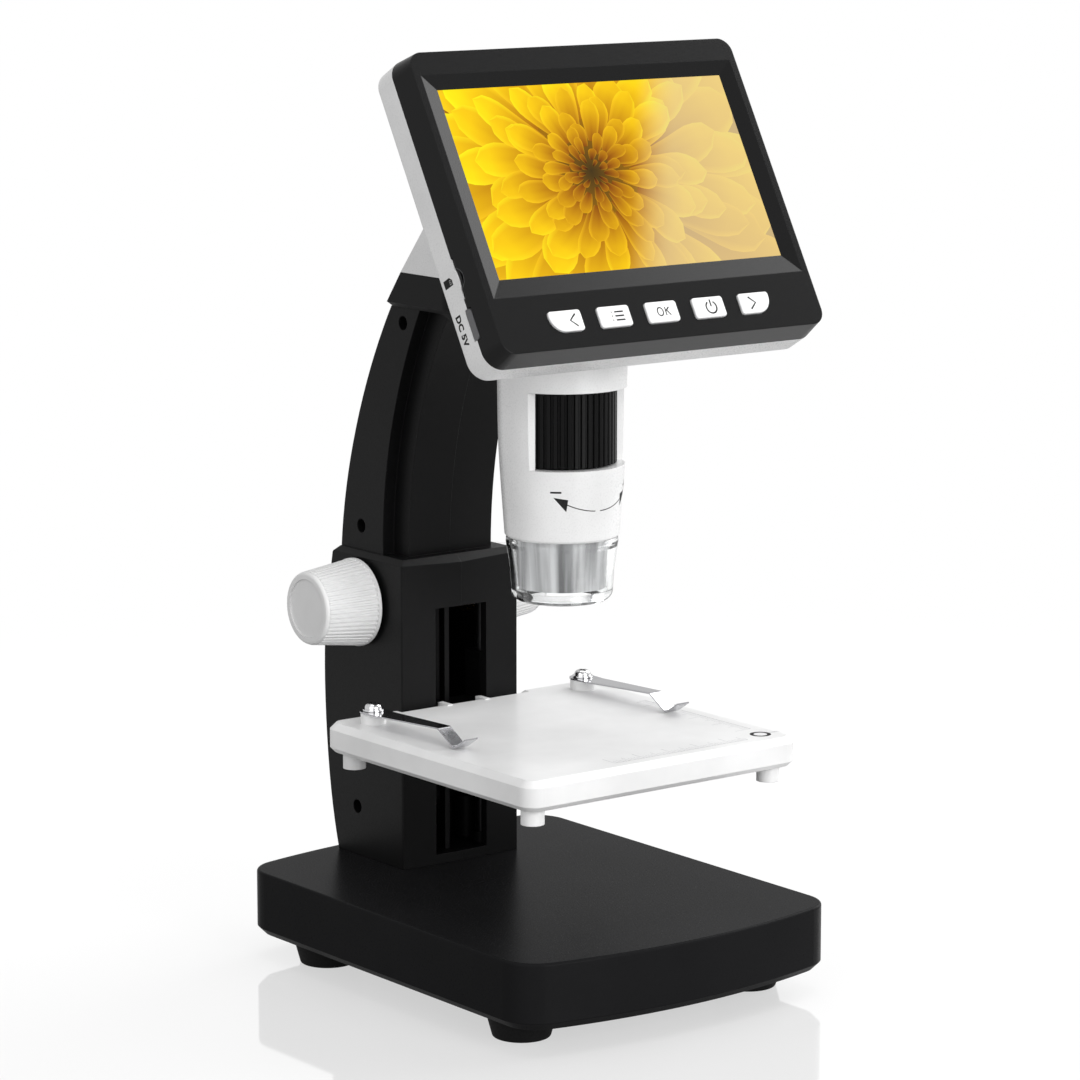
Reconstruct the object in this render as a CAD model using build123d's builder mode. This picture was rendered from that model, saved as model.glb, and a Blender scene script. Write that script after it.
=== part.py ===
from build123d import *
import os
from math import radians, sin, cos, tan, pi, sqrt, atan2

os.makedirs("parts", exist_ok=True)

# LCD digital microscope. Millimetres, +Z up, front towards -Y, feet on z = 0, origin under the
# middle of the bounding box.

# ---- driving sizes: base ----
BASE_HALF_W = 53.5
BASE_FRONT = -72.2
BASE_FRONT_SIDE = -64.7
BASE_BACK = 70.6
BASE_BACK_SIDE = 64.0
BASE_CORNER_R = 11.0
FOOT_H = 7.0
BASE_CHAMFER = 2.2
BASE_TOP_Z = 25.4
BASE_TOP_R = 0.8
BASE_WALL = 2.6
FOOT_X = 39.3
FOOT_Y_FRONT = -45.9
FOOT_Y_REAR = 44.1
FOOT_TOP_R = 9.7
FOOT_BOTTOM_R = 7.8
WEIGHT_SIDE_GAP = 7.3
WEIGHT_FRONT_GAP = 11.2
WEIGHT_BACK_GAP = 43.6

# ---- driving sizes: column and arm, drawn as side profiles of (y, z) ----
COL_HALF_W = 20.2
COL_FRONT = 33.4
COL_RIDGE = 0.7
COL_EDGE_R = 1.4
COL_LEDGE_Z = 114.0
COL_CHAMFER = 1.5
COL_REAR = [(65.8, 25.4), (69.6, 42.4), (71.4, 58.0), (72.2, 74.0), (71.8, 88.0),
            (69.0, 106.0), (67.4, 114.0)]
WALL = 2.2
SLOT_HALF_W = 8.9
SLOT_BOTTOM_Z = 28.2
SLOT_TOP_Z = 99.3
RIB_W = 1.6
RIB_FRONT_Y = 39.4
RIB_DEPTH = 2.6
ARM_HALF_W = 18.2
ARM_BOX_HALF_W = 14.4
ARM_TOP_Z = 185.0
ARM_REAR = [(66.2, 113.0), (63.0, 133.5), (58.0, 150.3), (50.4, 168.3), (41.0, 185.0)]
FLANGE_FRONT = [(45.8, 113.0), (43.3, 142.2), (36.8, 164.9), (27.6, 185.0)]
ARM_BOX_FRONT = [(38.8, 113.0), (36.0, 142.0), (29.6, 164.0), (18.8, 185.0)]
ARM_RIDGE = 0.5
TENON_Y = 23.0
TENON_DEPTH = 7.6
TENON_RISE = 3.8

# ---- driving sizes: neck, collar and display head ----
NECK_HALF_W = 20.0
COLLAR_TOP_Z = 195.0
COLLAR_CHAMFER = 1.3
COLLAR_REAR_BOTTOM = 40.7
COLLAR_REAR_TOP = 34.1
COLLAR_FRONT = 8.0
COLLAR_FRONT_R = 7.0
COLLAR_SAG = 5.4
NECK_LEAN = 40.0
TILT = 29.49
LCD_Y = -34.29
LCD_Z = 225.7
LCD_HALF_U = 47.52
LCD_HALF_V = 26.95
BEVEL_HALF_U = 52.0
BEVEL_TOP_RISE = 3.95
BEVEL_BOTTOM_DROP = 5.45
FACE_TOP_RISE = 6.55
KEY_ROW_DROP = 7.9
FACE_BOTTOM_DROP = 7.5
FACE_D = 1.05
FACE_HALF_U = 54.1
FACE_CORNER_R = 4.1
FLARE = 1.2
SEAM_D = -6.5
BACK_D = -14.4
HEAD_WALL = 1.8
BUTTON_U = [-31.8, -15.9, 0.0, 15.9, 31.8]
BUTTON_W = 10.4
BUTTON_H = 5.85
BUTTON_PROUD = 0.6
BUTTON_TRAVEL = 0.6
CARD_V = -23.2
CARD_W = 11.2
CARD_T = 0.8
THUMB_R = 3.13
THUMB_RISE = 2.25
PORT_V = -35.9
PORT_W = 8.6
PORT_T = 2.2
BOARD_H = 60.0

# ---- driving sizes: barrel ----
BARREL_Y = -12.7
SLEEVE = [(17.8, 178.0), (17.6, 165.0), (17.35, 151.6), (16.35, 135.6), (15.8, 128.0)]
SLEEVE_BOTTOM_Z = 126.2
WINDOW_Y = -18.9
WINDOW_BOTTOM_Z = 146.0
WINDOW_TOP_Z = 167.1
WHEEL_R = 14.9
WHEEL_RIBS = 48
CORE_R = 10.5
CELL_R = 7.4
CELL_TRAVEL = 3.9
CUP = [(15.36, 124.6), (14.17, 116.3), (13.9, 111.0)]
CUP_BOTTOM_Z = 108.4
CUP_BOTTOM_R = 11.6
CUP_WALL = 1.3

# ---- driving sizes: stage and its drive ----
STAGE_HALF_W = 46.4
STAGE_FRONT = -58.9
STAGE_BACK = 35.3
STAGE_CORNER_R = 4.8
STAGE_TOP_Z = 71.9
STAGE_BOTTOM_Z = 63.6
STAGE_BEVEL_TOP = 1.75
STAGE_BEVEL_BOTTOM = 1.4
STAGE_SKIN = 2.4
LEG_R = 3.17
LEG_Z = 59.1
LEG_X = 40.5
LEG_Y_FRONT = -52.3
LEG_Y_BACK = 28.7
POST_X = 36.7
POST_Y = 24.9
POST_R = 3.55
POST_TOP_Z = 74.9
LUG_X = 6.6
LUG_W = 1.8
LUG_REACH = 1.3
STAGE_UP = 24.0
STAGE_DOWN = 28.0
KNOB_Y = 54.4
KNOB_Z = 99.7
KNOB_NEAR_X = 21.4
KNOB_FAR_X = 38.6
KNOB_BIG_R = 12.53
KNOB_SMALL_R = 10.4
KNOB_RIBS = 50
SHAFT_R = 3.0
TOOTH_MODULE = 0.8
TEETH = 12
PRESSURE = 25.0
ROD_X = 13.6
ROD_Y = 42.1
ROD_R = 2.0
CLIP_W = 4.3
CLIP_ROOT_W = 7.4
CLIP_T = 0.4
CLIP_TIP = 45.3
CLIP_BEND_R = 1.4

# ---- clearances ----
RUN_FIT = 0.05
SLIDE_FIT = 0.1
GAP = 0.4
PART_GAP = 0.6
CAP_GAP = 0.25
BACKLASH = 0.06

# ---- derived places ----
LCD_PLANE = Plane(origin=(0, LCD_Y, LCD_Z), x_dir=(1, 0, 0),
                  z_dir=(0, -cos(radians(TILT)), sin(radians(TILT))))
FEET = [(x, y) for x in (-FOOT_X, FOOT_X) for y in (FOOT_Y_FRONT, FOOT_Y_REAR)]
SIDE_Z = FOOT_H + BASE_CHAMFER
BASE_ROOF_Z = BASE_TOP_Z - BASE_WALL
COL_IN = COL_HALF_W - WALL
ARM_IN = ARM_BOX_HALF_W - WALL
COL_FLOOR_Z = BASE_TOP_Z + WALL
COL_ROOF_Z = COL_LEDGE_Z - WALL
PITCH_R = TOOTH_MODULE * TEETH / 2
RACK_PITCH_Y = KNOB_Y - PITCH_R
ADDENDUM = 0.8 * TOOTH_MODULE
DEDENDUM = 1.1 * TOOTH_MODULE
RACK_BACK_Y = RACK_PITCH_Y - DEDENDUM - 3.2
TENON_TOP_Z = COLLAR_TOP_Z + TENON_RISE
BLOCK_FRONT_Y = COL_FRONT + COL_RIDGE + WALL + 2.0
BLOCK_BOTTOM_Z = BASE_TOP_Z + WALL + STAGE_DOWN + 4.0
BLOCK_TOP_Z = COL_ROOF_Z - STAGE_UP - 4.0
CORE_IN_R = CELL_R + SLIDE_FIT
WHEEL_BOTTOM_Z = WINDOW_BOTTOM_Z + GAP
WHEEL_TOP_Z = WINDOW_TOP_Z - GAP
WHEEL_MID_Z = (WHEEL_BOTTOM_Z + WHEEL_TOP_Z) / 2
IN_HALF_U = FACE_HALF_U + FLARE - HEAD_WALL
BEVEL_TOP_V = LCD_HALF_V + BEVEL_TOP_RISE
BEVEL_BOTTOM_V = -LCD_HALF_V - BEVEL_BOTTOM_DROP
BUTTON_V = BEVEL_BOTTOM_V - KEY_ROW_DROP
FACE_TOP_V = BEVEL_TOP_V + FACE_TOP_RISE
FACE_BOTTOM_V = BUTTON_V - FACE_BOTTOM_DROP
IN_TOP_V = FACE_TOP_V + FLARE - HEAD_WALL


def at(d):
    """Plane parallel to the screen, d mm in front of it."""
    return LCD_PLANE.offset(d)


def polar(radius, angle):
    return (radius * cos(radians(angle)), radius * sin(radians(angle)))


def base_plan(inset):
    """Plan of the base with bowed front and back edges, drawn inset mm inside its outline."""
    with BuildSketch() as plan:
        with BuildLine():
            ThreePointArc((-BASE_HALF_W, BASE_FRONT_SIDE), (0, BASE_FRONT), (BASE_HALF_W, BASE_FRONT_SIDE))
            Line((BASE_HALF_W, BASE_FRONT_SIDE), (BASE_HALF_W, BASE_BACK_SIDE))
            ThreePointArc((BASE_HALF_W, BASE_BACK_SIDE), (0, BASE_BACK), (-BASE_HALF_W, BASE_BACK_SIDE))
            Line((-BASE_HALF_W, BASE_BACK_SIDE), (-BASE_HALF_W, BASE_FRONT_SIDE))
        make_face()
        fillet(plan.vertices(), BASE_CORNER_R)
        if inset:
            offset(amount=-inset, kind=Kind.ARC)
    return plan.sketch


def side_profile(rear, front, bottom, top):
    """Side view between a rear curve and a front curve, both lists of (y, z) from the bottom up."""
    with BuildSketch() as profile:
        with BuildLine():
            Spline(*rear)
            if front[0][0] == front[-1][0]:
                Line(front[0], front[-1])
            else:
                Spline(*front)
            Line(front[0], rear[0])
            Line(front[-1], rear[-1])
        make_face()
    return profile.sketch


def shifted(curve, by):
    return [(y + by, z) for y, z in curve]


def head_rect(grow, corner):
    """Rounded outline of the display head, grown by grow mm from the front face's outline."""
    top = FACE_TOP_V + grow
    bottom = FACE_BOTTOM_V - grow
    with BuildSketch() as outline:
        with Locations((0, (top + bottom) / 2)):
            RectangleRounded(2 * (FACE_HALF_U + grow), top - bottom, corner)
    return outline.sketch


def gear_ring(radius, depth, count, land, foot):
    """Star outline with count straight ribs; land and foot are shares of the pitch."""
    points = []
    pitch = 360 / count
    for i in range(count):
        middle = i * pitch
        points.append(polar(radius - depth, middle - foot * pitch / 2))
        points.append(polar(radius, middle - land * pitch / 2))
        points.append(polar(radius, middle + land * pitch / 2))
        points.append(polar(radius - depth, middle + foot * pitch / 2))
    return points


def pinion_points():
    """Outline of the involute pinion, one tooth pointing along -x of its own sketch."""
    base_r = PITCH_R * cos(radians(PRESSURE))
    tip_r = PITCH_R + ADDENDUM
    root_r = PITCH_R - DEDENDUM
    roll_pitch = tan(radians(PRESSURE)) - radians(PRESSURE)
    half_tooth = (pi * TOOTH_MODULE / 2 - BACKLASH) / (2 * PITCH_R)
    flank = []
    for step in range(6):
        radius = base_r + (tip_r - base_r) * step / 5
        roll = sqrt((radius / base_r) ** 2 - 1)
        flank.append((radius, half_tooth + roll_pitch - (roll - atan2(roll, 1))))
    points = []
    for i in range(TEETH):
        middle = pi + i * 2 * pi / TEETH
        points.append((root_r, middle - flank[0][1]))
        points.extend((radius, middle - angle) for radius, angle in flank)
        points.extend((radius, middle + angle) for radius, angle in reversed(flank))
        points.append((root_r, middle + flank[0][1]))
    return [(radius * cos(angle), radius * sin(angle)) for radius, angle in points]


def rack_points(bottom_z, top_z):
    """Side outline of the rack as (y, z), a gap between two teeth facing the pinion's tooth."""
    pitch = pi * TOOTH_MODULE
    tip = (pitch / 2 - BACKLASH) / 2 - ADDENDUM * tan(radians(PRESSURE))
    root = (pitch / 2 - BACKLASH) / 2 + DEDENDUM * tan(radians(PRESSURE))
    low = int((bottom_z - KNOB_Z) / pitch) - 1
    points = [(RACK_BACK_Y, bottom_z), (RACK_PITCH_Y - DEDENDUM, bottom_z)]
    for i in range(low, low + int((top_z - bottom_z) / pitch) + 3):
        middle = KNOB_Z + (i + 0.5) * pitch
        if middle - root <= bottom_z or middle + root >= top_z:
            continue
        points.append((RACK_PITCH_Y - DEDENDUM, middle - root))
        points.append((RACK_PITCH_Y + ADDENDUM, middle - tip))
        points.append((RACK_PITCH_Y + ADDENDUM, middle + tip))
        points.append((RACK_PITCH_Y - DEDENDUM, middle + root))
    points.extend([(RACK_PITCH_Y - DEDENDUM, top_z), (RACK_BACK_Y, top_z)])
    return points


BASE_OUTER = base_plan(0)
BASE_INNER = base_plan(BASE_WALL)
BASE_LIP_OUTER = base_plan(BASE_WALL + SLIDE_FIT)
BASE_LIP_INNER = base_plan(BASE_WALL + SLIDE_FIT + 1.6)
COL_FRONT_LINE = [(COL_FRONT, BASE_TOP_Z), (COL_FRONT, COL_LEDGE_Z)]
COL_OUTER = side_profile(COL_REAR, COL_FRONT_LINE, BASE_TOP_Z, COL_LEDGE_Z)
COL_INNER = side_profile(shifted(COL_REAR, -WALL),
                         shifted(COL_FRONT_LINE, WALL + COL_RIDGE), BASE_TOP_Z, COL_LEDGE_Z)
FLANGE_OUTER = side_profile(ARM_REAR, FLANGE_FRONT, COL_LEDGE_Z, ARM_TOP_Z)
FLANGE_INNER = side_profile(shifted(ARM_REAR, -WALL * 1.15), shifted(FLANGE_FRONT, WALL * 1.15),
                            COL_LEDGE_Z, ARM_TOP_Z)
ARM_OUTER = side_profile(ARM_REAR, ARM_BOX_FRONT, COL_LEDGE_Z, ARM_TOP_Z)
ARM_INNER = side_profile(shifted(ARM_REAR, -WALL * 1.15), shifted(ARM_BOX_FRONT, WALL * 1.15),
                         COL_LEDGE_Z, ARM_TOP_Z)
HEAD_FRONT = head_rect(0, FACE_CORNER_R)
HEAD_SEAM = head_rect(FLARE, FACE_CORNER_R + FLARE)
HEAD_SEAM_IN = head_rect(FLARE - HEAD_WALL, FACE_CORNER_R + FLARE - HEAD_WALL)
PINION = pinion_points()

# ================= base =================

COLUMN_SCREWS = [(x, y) for x in (-13.8, 13.8) for y in (50.0, 58.4)]

with BuildPart() as base_housing:
    with BuildSketch(Plane.XY.offset(SIDE_Z)):
        add(BASE_OUTER)
    extrude(amount=BASE_TOP_Z - SIDE_Z)
    fillet(base_housing.faces().sort_by(Axis.Z)[-1].edges(), BASE_TOP_R)
    with BuildSketch(Plane.XY.offset(SIDE_Z)):
        add(BASE_INNER)
    extrude(amount=BASE_ROOF_Z - SIDE_Z, mode=Mode.SUBTRACT)
    # Stiffening ribs under the roof and the bosses that take the foot screws.
    with BuildSketch(Plane.XY.offset(BASE_ROOF_Z - 4.0)):
        for x in (-27.0, 27.0):
            with Locations((x, -16.0)):
                Rectangle(1.8, 92.0)
        for y in (-58.0, -20.0, 18.0):
            with Locations((0, y)):
                Rectangle(98.0, 1.8)
    extrude(amount=4.0)
    with BuildSketch(Plane.XY.offset(SIDE_Z)):
        with Locations(*FEET):
            Circle(3.6)
    extrude(amount=BASE_ROOF_Z - SIDE_Z)
    with BuildSketch(Plane.XY.offset(SIDE_Z)):
        with Locations(*FEET):
            Circle(1.5)
    extrude(amount=10.0, mode=Mode.SUBTRACT)
    with BuildSketch(Plane.XY.offset(BASE_ROOF_Z)):
        with Locations(*COLUMN_SCREWS):
            Circle(1.7)
    extrude(amount=BASE_WALL, mode=Mode.SUBTRACT)

with BuildPart() as base_bottom_cover:
    with BuildSketch(Plane.XY.offset(FOOT_H)):
        add(BASE_OUTER)
    extrude(amount=BASE_CHAMFER)
    chamfer(base_bottom_cover.faces().sort_by(Axis.Z)[0].edges(), BASE_CHAMFER * 0.98)
    with BuildSketch(Plane.XY.offset(SIDE_Z)):
        add(BASE_LIP_OUTER)
        add(BASE_LIP_INNER, mode=Mode.SUBTRACT)
    extrude(amount=2.0)
    with BuildSketch(Plane.XY.offset(FOOT_H)):
        with Locations(*FEET):
            Circle(1.7)
    extrude(amount=BASE_CHAMFER, mode=Mode.SUBTRACT)

WEIGHT_FRONT_Y = BASE_FRONT + WEIGHT_FRONT_GAP
WEIGHT_BACK_Y = BASE_BACK - WEIGHT_BACK_GAP

with BuildPart() as base_weight:
    with BuildSketch(Plane.XY.offset(SIDE_Z)):
        with Locations((0, (WEIGHT_FRONT_Y + WEIGHT_BACK_Y) / 2)):
            RectangleRounded(2 * (FOOT_X - WEIGHT_SIDE_GAP), WEIGHT_BACK_Y - WEIGHT_FRONT_Y, 4.0)
    extrude(amount=7.0)
    chamfer(base_weight.faces().sort_by(Axis.Z)[-1].edges(), 1.0)

with BuildPart() as base_feet:
    with Locations(*[(x, y, 0) for x, y in FEET]):
        Cone(FOOT_BOTTOM_R, FOOT_TOP_R, FOOT_H, align=(Align.CENTER, Align.CENTER, Align.MIN))
    fillet(base_feet.edges().group_by(Axis.Z)[0], 0.7)
    with Locations(*[(x, y, 0) for x, y in FEET]):
        Cylinder(3.5, 3.6, align=(Align.CENTER, Align.CENTER, Align.MIN), mode=Mode.SUBTRACT)
        Cylinder(1.7, FOOT_H, align=(Align.CENTER, Align.CENTER, Align.MIN), mode=Mode.SUBTRACT)

with BuildPart() as base_screws:
    with Locations(*[(x, y, 1.6) for x, y in FEET]):
        Cylinder(3.0, 2.0, align=(Align.CENTER, Align.CENTER, Align.MIN))
        Cylinder(1.5, 15.0, align=(Align.CENTER, Align.CENTER, Align.MIN))
    with Locations(*[(x, y, 1.6) for x, y in FEET]):
        Box(3.4, 0.8, 1.0, align=(Align.CENTER, Align.CENTER, Align.MIN), mode=Mode.SUBTRACT)
        Box(0.8, 3.4, 1.0, align=(Align.CENTER, Align.CENTER, Align.MIN), mode=Mode.SUBTRACT)

with BuildPart() as column_foot_screws:
    with Locations(*[(x, y, BASE_ROOF_Z - 2.0) for x, y in COLUMN_SCREWS]):
        Cylinder(2.9, 2.0, align=(Align.CENTER, Align.CENTER, Align.MIN))
        Cylinder(1.5, 15.0, align=(Align.CENTER, Align.CENTER, Align.MIN))

# ================= column and arm, two moulded halves =================

# Screws that pull the halves together, as (y, z) on the left side.
HALF_SCREWS = [(56.4, 39.7), (56.3, 120.9), (35.6, 180.6)]
HALF_SCREW_HEAD_R = 1.8

with BuildPart() as column_right_shell:
    with BuildSketch(Plane.YZ):
        add(COL_OUTER)
    extrude(amount=COL_HALF_W)
    fillet(column_right_shell.edges().filter_by(Axis.Z).group_by(Axis.X)[-1], COL_EDGE_R)
    # Sloping edge round the ledge where the arm begins.
    rear_top = COL_REAR[-1][0]
    with BuildSketch(Plane.YZ):
        Polygon((COL_FRONT, COL_LEDGE_Z), (COL_FRONT + COL_RIDGE + COL_CHAMFER, COL_LEDGE_Z),
                (COL_FRONT, COL_LEDGE_Z - COL_CHAMFER - COL_RIDGE), align=None)
        Polygon((rear_top + 3.0, COL_LEDGE_Z), (rear_top - COL_CHAMFER, COL_LEDGE_Z),
                (rear_top + 3.0, COL_LEDGE_Z - COL_CHAMFER - 3.0), align=None)
    extrude(amount=COL_HALF_W, mode=Mode.SUBTRACT)
    with BuildSketch(Plane.XZ.offset(-COL_FRONT)):
        Polygon((COL_HALF_W, COL_LEDGE_Z), (COL_HALF_W - COL_CHAMFER, COL_LEDGE_Z),
                (COL_HALF_W, COL_LEDGE_Z - COL_CHAMFER), align=None)
    extrude(amount=-60.0, mode=Mode.SUBTRACT)
    # The front face falls away from a faint ridge at the middle.
    with BuildSketch(Plane.XY.offset(BASE_TOP_Z)):
        Polygon((0, COL_FRONT), (COL_HALF_W, COL_FRONT + COL_RIDGE), (COL_HALF_W, COL_FRONT), align=None)
    extrude(amount=COL_LEDGE_Z - BASE_TOP_Z, mode=Mode.SUBTRACT)
    with BuildSketch(Plane.YZ):
        add(FLANGE_OUTER)
    extrude(amount=ARM_HALF_W)
    with BuildSketch(Plane.YZ):
        add(ARM_OUTER)
    extrude(amount=ARM_BOX_HALF_W)
    # Hollow arm, then hollow column with a floor and a roof.
    with BuildSketch(Plane.YZ):
        add(FLANGE_INNER)
    extrude(amount=ARM_HALF_W - WALL, mode=Mode.SUBTRACT)
    with BuildSketch(Plane.YZ):
        add(ARM_INNER)
    extrude(amount=ARM_IN, mode=Mode.SUBTRACT)
    with BuildSketch(Plane.YZ):
        add(COL_INNER)
        with Locations((50.0, BASE_TOP_Z)):
            Rectangle(60.0, 2 * WALL, mode=Mode.SUBTRACT)
        with Locations((50.0, COL_LEDGE_Z)):
            Rectangle(60.0, 2 * WALL, mode=Mode.SUBTRACT)
    extrude(amount=COL_IN, mode=Mode.SUBTRACT)
    # The arm's hollow opens into the column's, so that the rack can rise.
    with BuildSketch(Plane.XY.offset(COL_ROOF_Z)):
        with Locations((0, 51.5)):
            Rectangle(2 * ARM_IN, 20.0)
    extrude(amount=WALL + 4.0, mode=Mode.SUBTRACT)
    with BuildSketch(Plane.XY.offset(COL_FLOOR_Z)):
        with Locations((ROD_X, ROD_Y)):
            Circle(ROD_R + 1.4)
    extrude(amount=3.0)
    with BuildSketch(Plane.XY.offset(COL_ROOF_Z - 2.6)):
        with Locations((ROD_X, ROD_Y)):
            Circle(ROD_R + 1.4)
    extrude(amount=2.6)
    with BuildSketch(Plane.XY.offset(COL_FLOOR_Z)):
        with Locations(*[(x, y) for x, y in COLUMN_SCREWS if x > 0]):
            Circle(3.3)
    extrude(amount=12.0)
    # Bosses the half screws bite into.
    with BuildSketch(Plane.YZ):
        with Locations(*HALF_SCREWS):
            Circle(3.4)
    extrude(amount=ARM_HALF_W - WALL)
    with BuildSketch(Plane.YZ):
        with Locations(HALF_SCREWS[0]):
            Circle(3.4)
    extrude(amount=COL_IN)
    with BuildSketch(Plane.XY.offset(BASE_TOP_Z)):
        with Locations(*[(x, y) for x, y in COLUMN_SCREWS if x > 0]):
            Circle(1.5)
    extrude(amount=11.0, mode=Mode.SUBTRACT)
    with BuildSketch(Plane.XY.offset(COL_FLOOR_Z)):
        with Locations((ROD_X, ROD_Y)):
            Circle(ROD_R)
    extrude(amount=COL_ROOF_Z - COL_FLOOR_Z, mode=Mode.SUBTRACT)
    with BuildSketch(Plane.YZ.offset(COL_IN - 2.0)):
        with Locations((KNOB_Y, KNOB_Z)):
            Circle(5.0)
    extrude(amount=2.0 + WALL, mode=Mode.SUBTRACT)
    with BuildSketch(Plane.XY.offset(SLOT_BOTTOM_Z)):
        with Locations((0, COL_FRONT)):
            Rectangle(2 * SLOT_HALF_W, 8.0)
    extrude(amount=SLOT_TOP_Z - SLOT_BOTTOM_Z, mode=Mode.SUBTRACT)
    # Tenon that rises through the collar into the neck.
    with BuildSketch(Plane.YZ):
        add(ARM_OUTER)
        with Locations((TENON_Y, ARM_TOP_Z - 3.0)):
            Rectangle(TENON_DEPTH, 6.0, mode=Mode.INTERSECT)
        with Locations((TENON_Y, ARM_TOP_Z)):
            Rectangle(TENON_DEPTH, TENON_TOP_Z - ARM_TOP_Z, align=(Align.CENTER, Align.MIN))
    extrude(amount=ARM_IN)
    with BuildSketch(Plane.XY.offset(ARM_TOP_Z - 6.0)):
        with Locations((0, TENON_Y)):
            Rectangle(ARM_IN - WALL, TENON_DEPTH - 2 * WALL, align=(Align.MIN, Align.CENTER))
    extrude(amount=TENON_TOP_Z - ARM_TOP_Z + 6.0, mode=Mode.SUBTRACT)
    with BuildSketch(Plane.YZ):
        with Locations(*HALF_SCREWS):
            Circle(1.3)
    extrude(amount=12.0, mode=Mode.SUBTRACT)

with BuildPart() as column_left_shell:
    mirror(column_right_shell.part, about=Plane.YZ)
    with BuildSketch(Plane.YZ):
        with Locations(*HALF_SCREWS):
            Circle(HALF_SCREW_HEAD_R + 0.2)
    extrude(amount=-COL_HALF_W, mode=Mode.SUBTRACT)
    with BuildSketch(Plane.YZ):
        with Locations(*HALF_SCREWS):
            Circle(3.0)
            Circle(1.5, mode=Mode.SUBTRACT)
    extrude(amount=-9.0)
    # Upright rib behind the slot, beside the seam, in a groove of the stage's carrier.
    with BuildSketch(Plane.XY.offset(COL_FLOOR_Z)):
        with Locations((0, RIB_FRONT_Y)):
            Rectangle(RIB_W, RIB_DEPTH, align=(Align.MAX, Align.MIN))
    extrude(amount=COL_ROOF_Z - COL_FLOOR_Z)

with BuildPart() as column_screws:
    for y, z in HALF_SCREWS:
        with Locations(Plane(origin=(-9.0, y, z), x_dir=(0, 1, 0), z_dir=(1, 0, 0))):
            Cylinder(HALF_SCREW_HEAD_R, 2.0, align=(Align.CENTER, Align.CENTER, Align.MAX))
            Cylinder(1.3, 19.0, align=(Align.CENTER, Align.CENTER, Align.MIN))

with BuildPart() as collar:
    with BuildSketch(Plane.YZ):
        Polygon((COLLAR_FRONT, ARM_TOP_Z), (COLLAR_FRONT, COLLAR_TOP_Z), (COLLAR_REAR_TOP, COLLAR_TOP_Z),
                (COLLAR_REAR_BOTTOM, ARM_TOP_Z + COLLAR_CHAMFER),
                (COLLAR_REAR_BOTTOM - COLLAR_CHAMFER, ARM_TOP_Z), align=None)
    extrude(amount=NECK_HALF_W, both=True)
    fillet(collar.edges().filter_by(Axis.Z).group_by(Axis.Y)[0], COLLAR_FRONT_R)
    chamfer(collar.edges().group_by(Axis.Z)[0].filter_by(Axis.X, reverse=True), COLLAR_CHAMFER * 0.98)
    # Lip that curves down under the front, between the arm and the barrel.
    with BuildSketch(Plane.YZ):
        with BuildLine():
            sag_top = (ARM_BOX_FRONT[-1][0] - 0.2, ARM_TOP_Z)
            TangentArc(sag_top, (COLLAR_FRONT, ARM_TOP_Z - COLLAR_SAG), tangent=(-1, 0))
            Polyline((COLLAR_FRONT, ARM_TOP_Z - COLLAR_SAG), (COLLAR_FRONT, ARM_TOP_Z + 0.5),
                     (sag_top[0], ARM_TOP_Z + 0.5), sag_top)
        make_face()
    extrude(amount=NECK_HALF_W - COLLAR_CHAMFER, both=True)
    with BuildSketch(Plane.XY.offset(ARM_TOP_Z)):
        with Locations((0, TENON_Y)):
            Rectangle(2 * ARM_IN + 2 * SLIDE_FIT, TENON_DEPTH + 2 * SLIDE_FIT)
        with Locations((0, BARREL_Y)):
            Circle(SLEEVE[0][0] + GAP)
    extrude(amount=COLLAR_TOP_Z - ARM_TOP_Z, mode=Mode.SUBTRACT)
    with BuildSketch(Plane.XY.offset(ARM_TOP_Z)):
        with Locations((0, BARREL_Y)):
            Circle(SLEEVE[0][0] + GAP)
    extrude(amount=-COLLAR_SAG - 1.0, mode=Mode.SUBTRACT)

with BuildPart() as guide_rods:
    with Locations((-ROD_X, ROD_Y, COL_FLOOR_Z), (ROD_X, ROD_Y, COL_FLOOR_Z)):
        Cylinder(ROD_R, COL_ROOF_Z - COL_FLOOR_Z, align=(Align.CENTER, Align.CENTER, Align.MIN))

# ================= drive: bushes, shaft, pinion, knobs =================

with BuildPart() as shaft_bushes:
    for side in (-1, 1):
        with BuildSketch(Plane.YZ.offset(side * (COL_IN - 2.0))):
            with Locations((KNOB_Y, KNOB_Z)):
                Circle(5.0)
        extrude(amount=side * (2.0 + WALL))
        with BuildSketch(Plane.YZ.offset(side * (COL_IN - 2.0))):
            with Locations((KNOB_Y, KNOB_Z)):
                Circle(7.0)
        extrude(amount=side * 2.0)
    with BuildSketch(Plane.YZ):
        with Locations((KNOB_Y, KNOB_Z)):
            Circle(SHAFT_R + RUN_FIT)
    extrude(amount=COL_HALF_W + 1, both=True, mode=Mode.SUBTRACT)

with BuildPart() as drive_shaft:
    with BuildSketch(Plane.YZ):
        with Locations((KNOB_Y, KNOB_Z)):
            Circle(SHAFT_R)
    extrude(amount=KNOB_FAR_X - 3.0, both=True)
    chamfer(drive_shaft.edges(), 0.4)

with BuildPart() as drive_pinion:
    with BuildSketch(Plane(origin=(0, KNOB_Y, KNOB_Z), x_dir=(0, 1, 0), z_dir=(1, 0, 0))):
        Polygon(*PINION, align=None)
        Circle(SHAFT_R, mode=Mode.SUBTRACT)
    extrude(amount=4.4, both=True)

KNOB_RIM = 0.9
KNOB_CAP = 1.1

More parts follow.
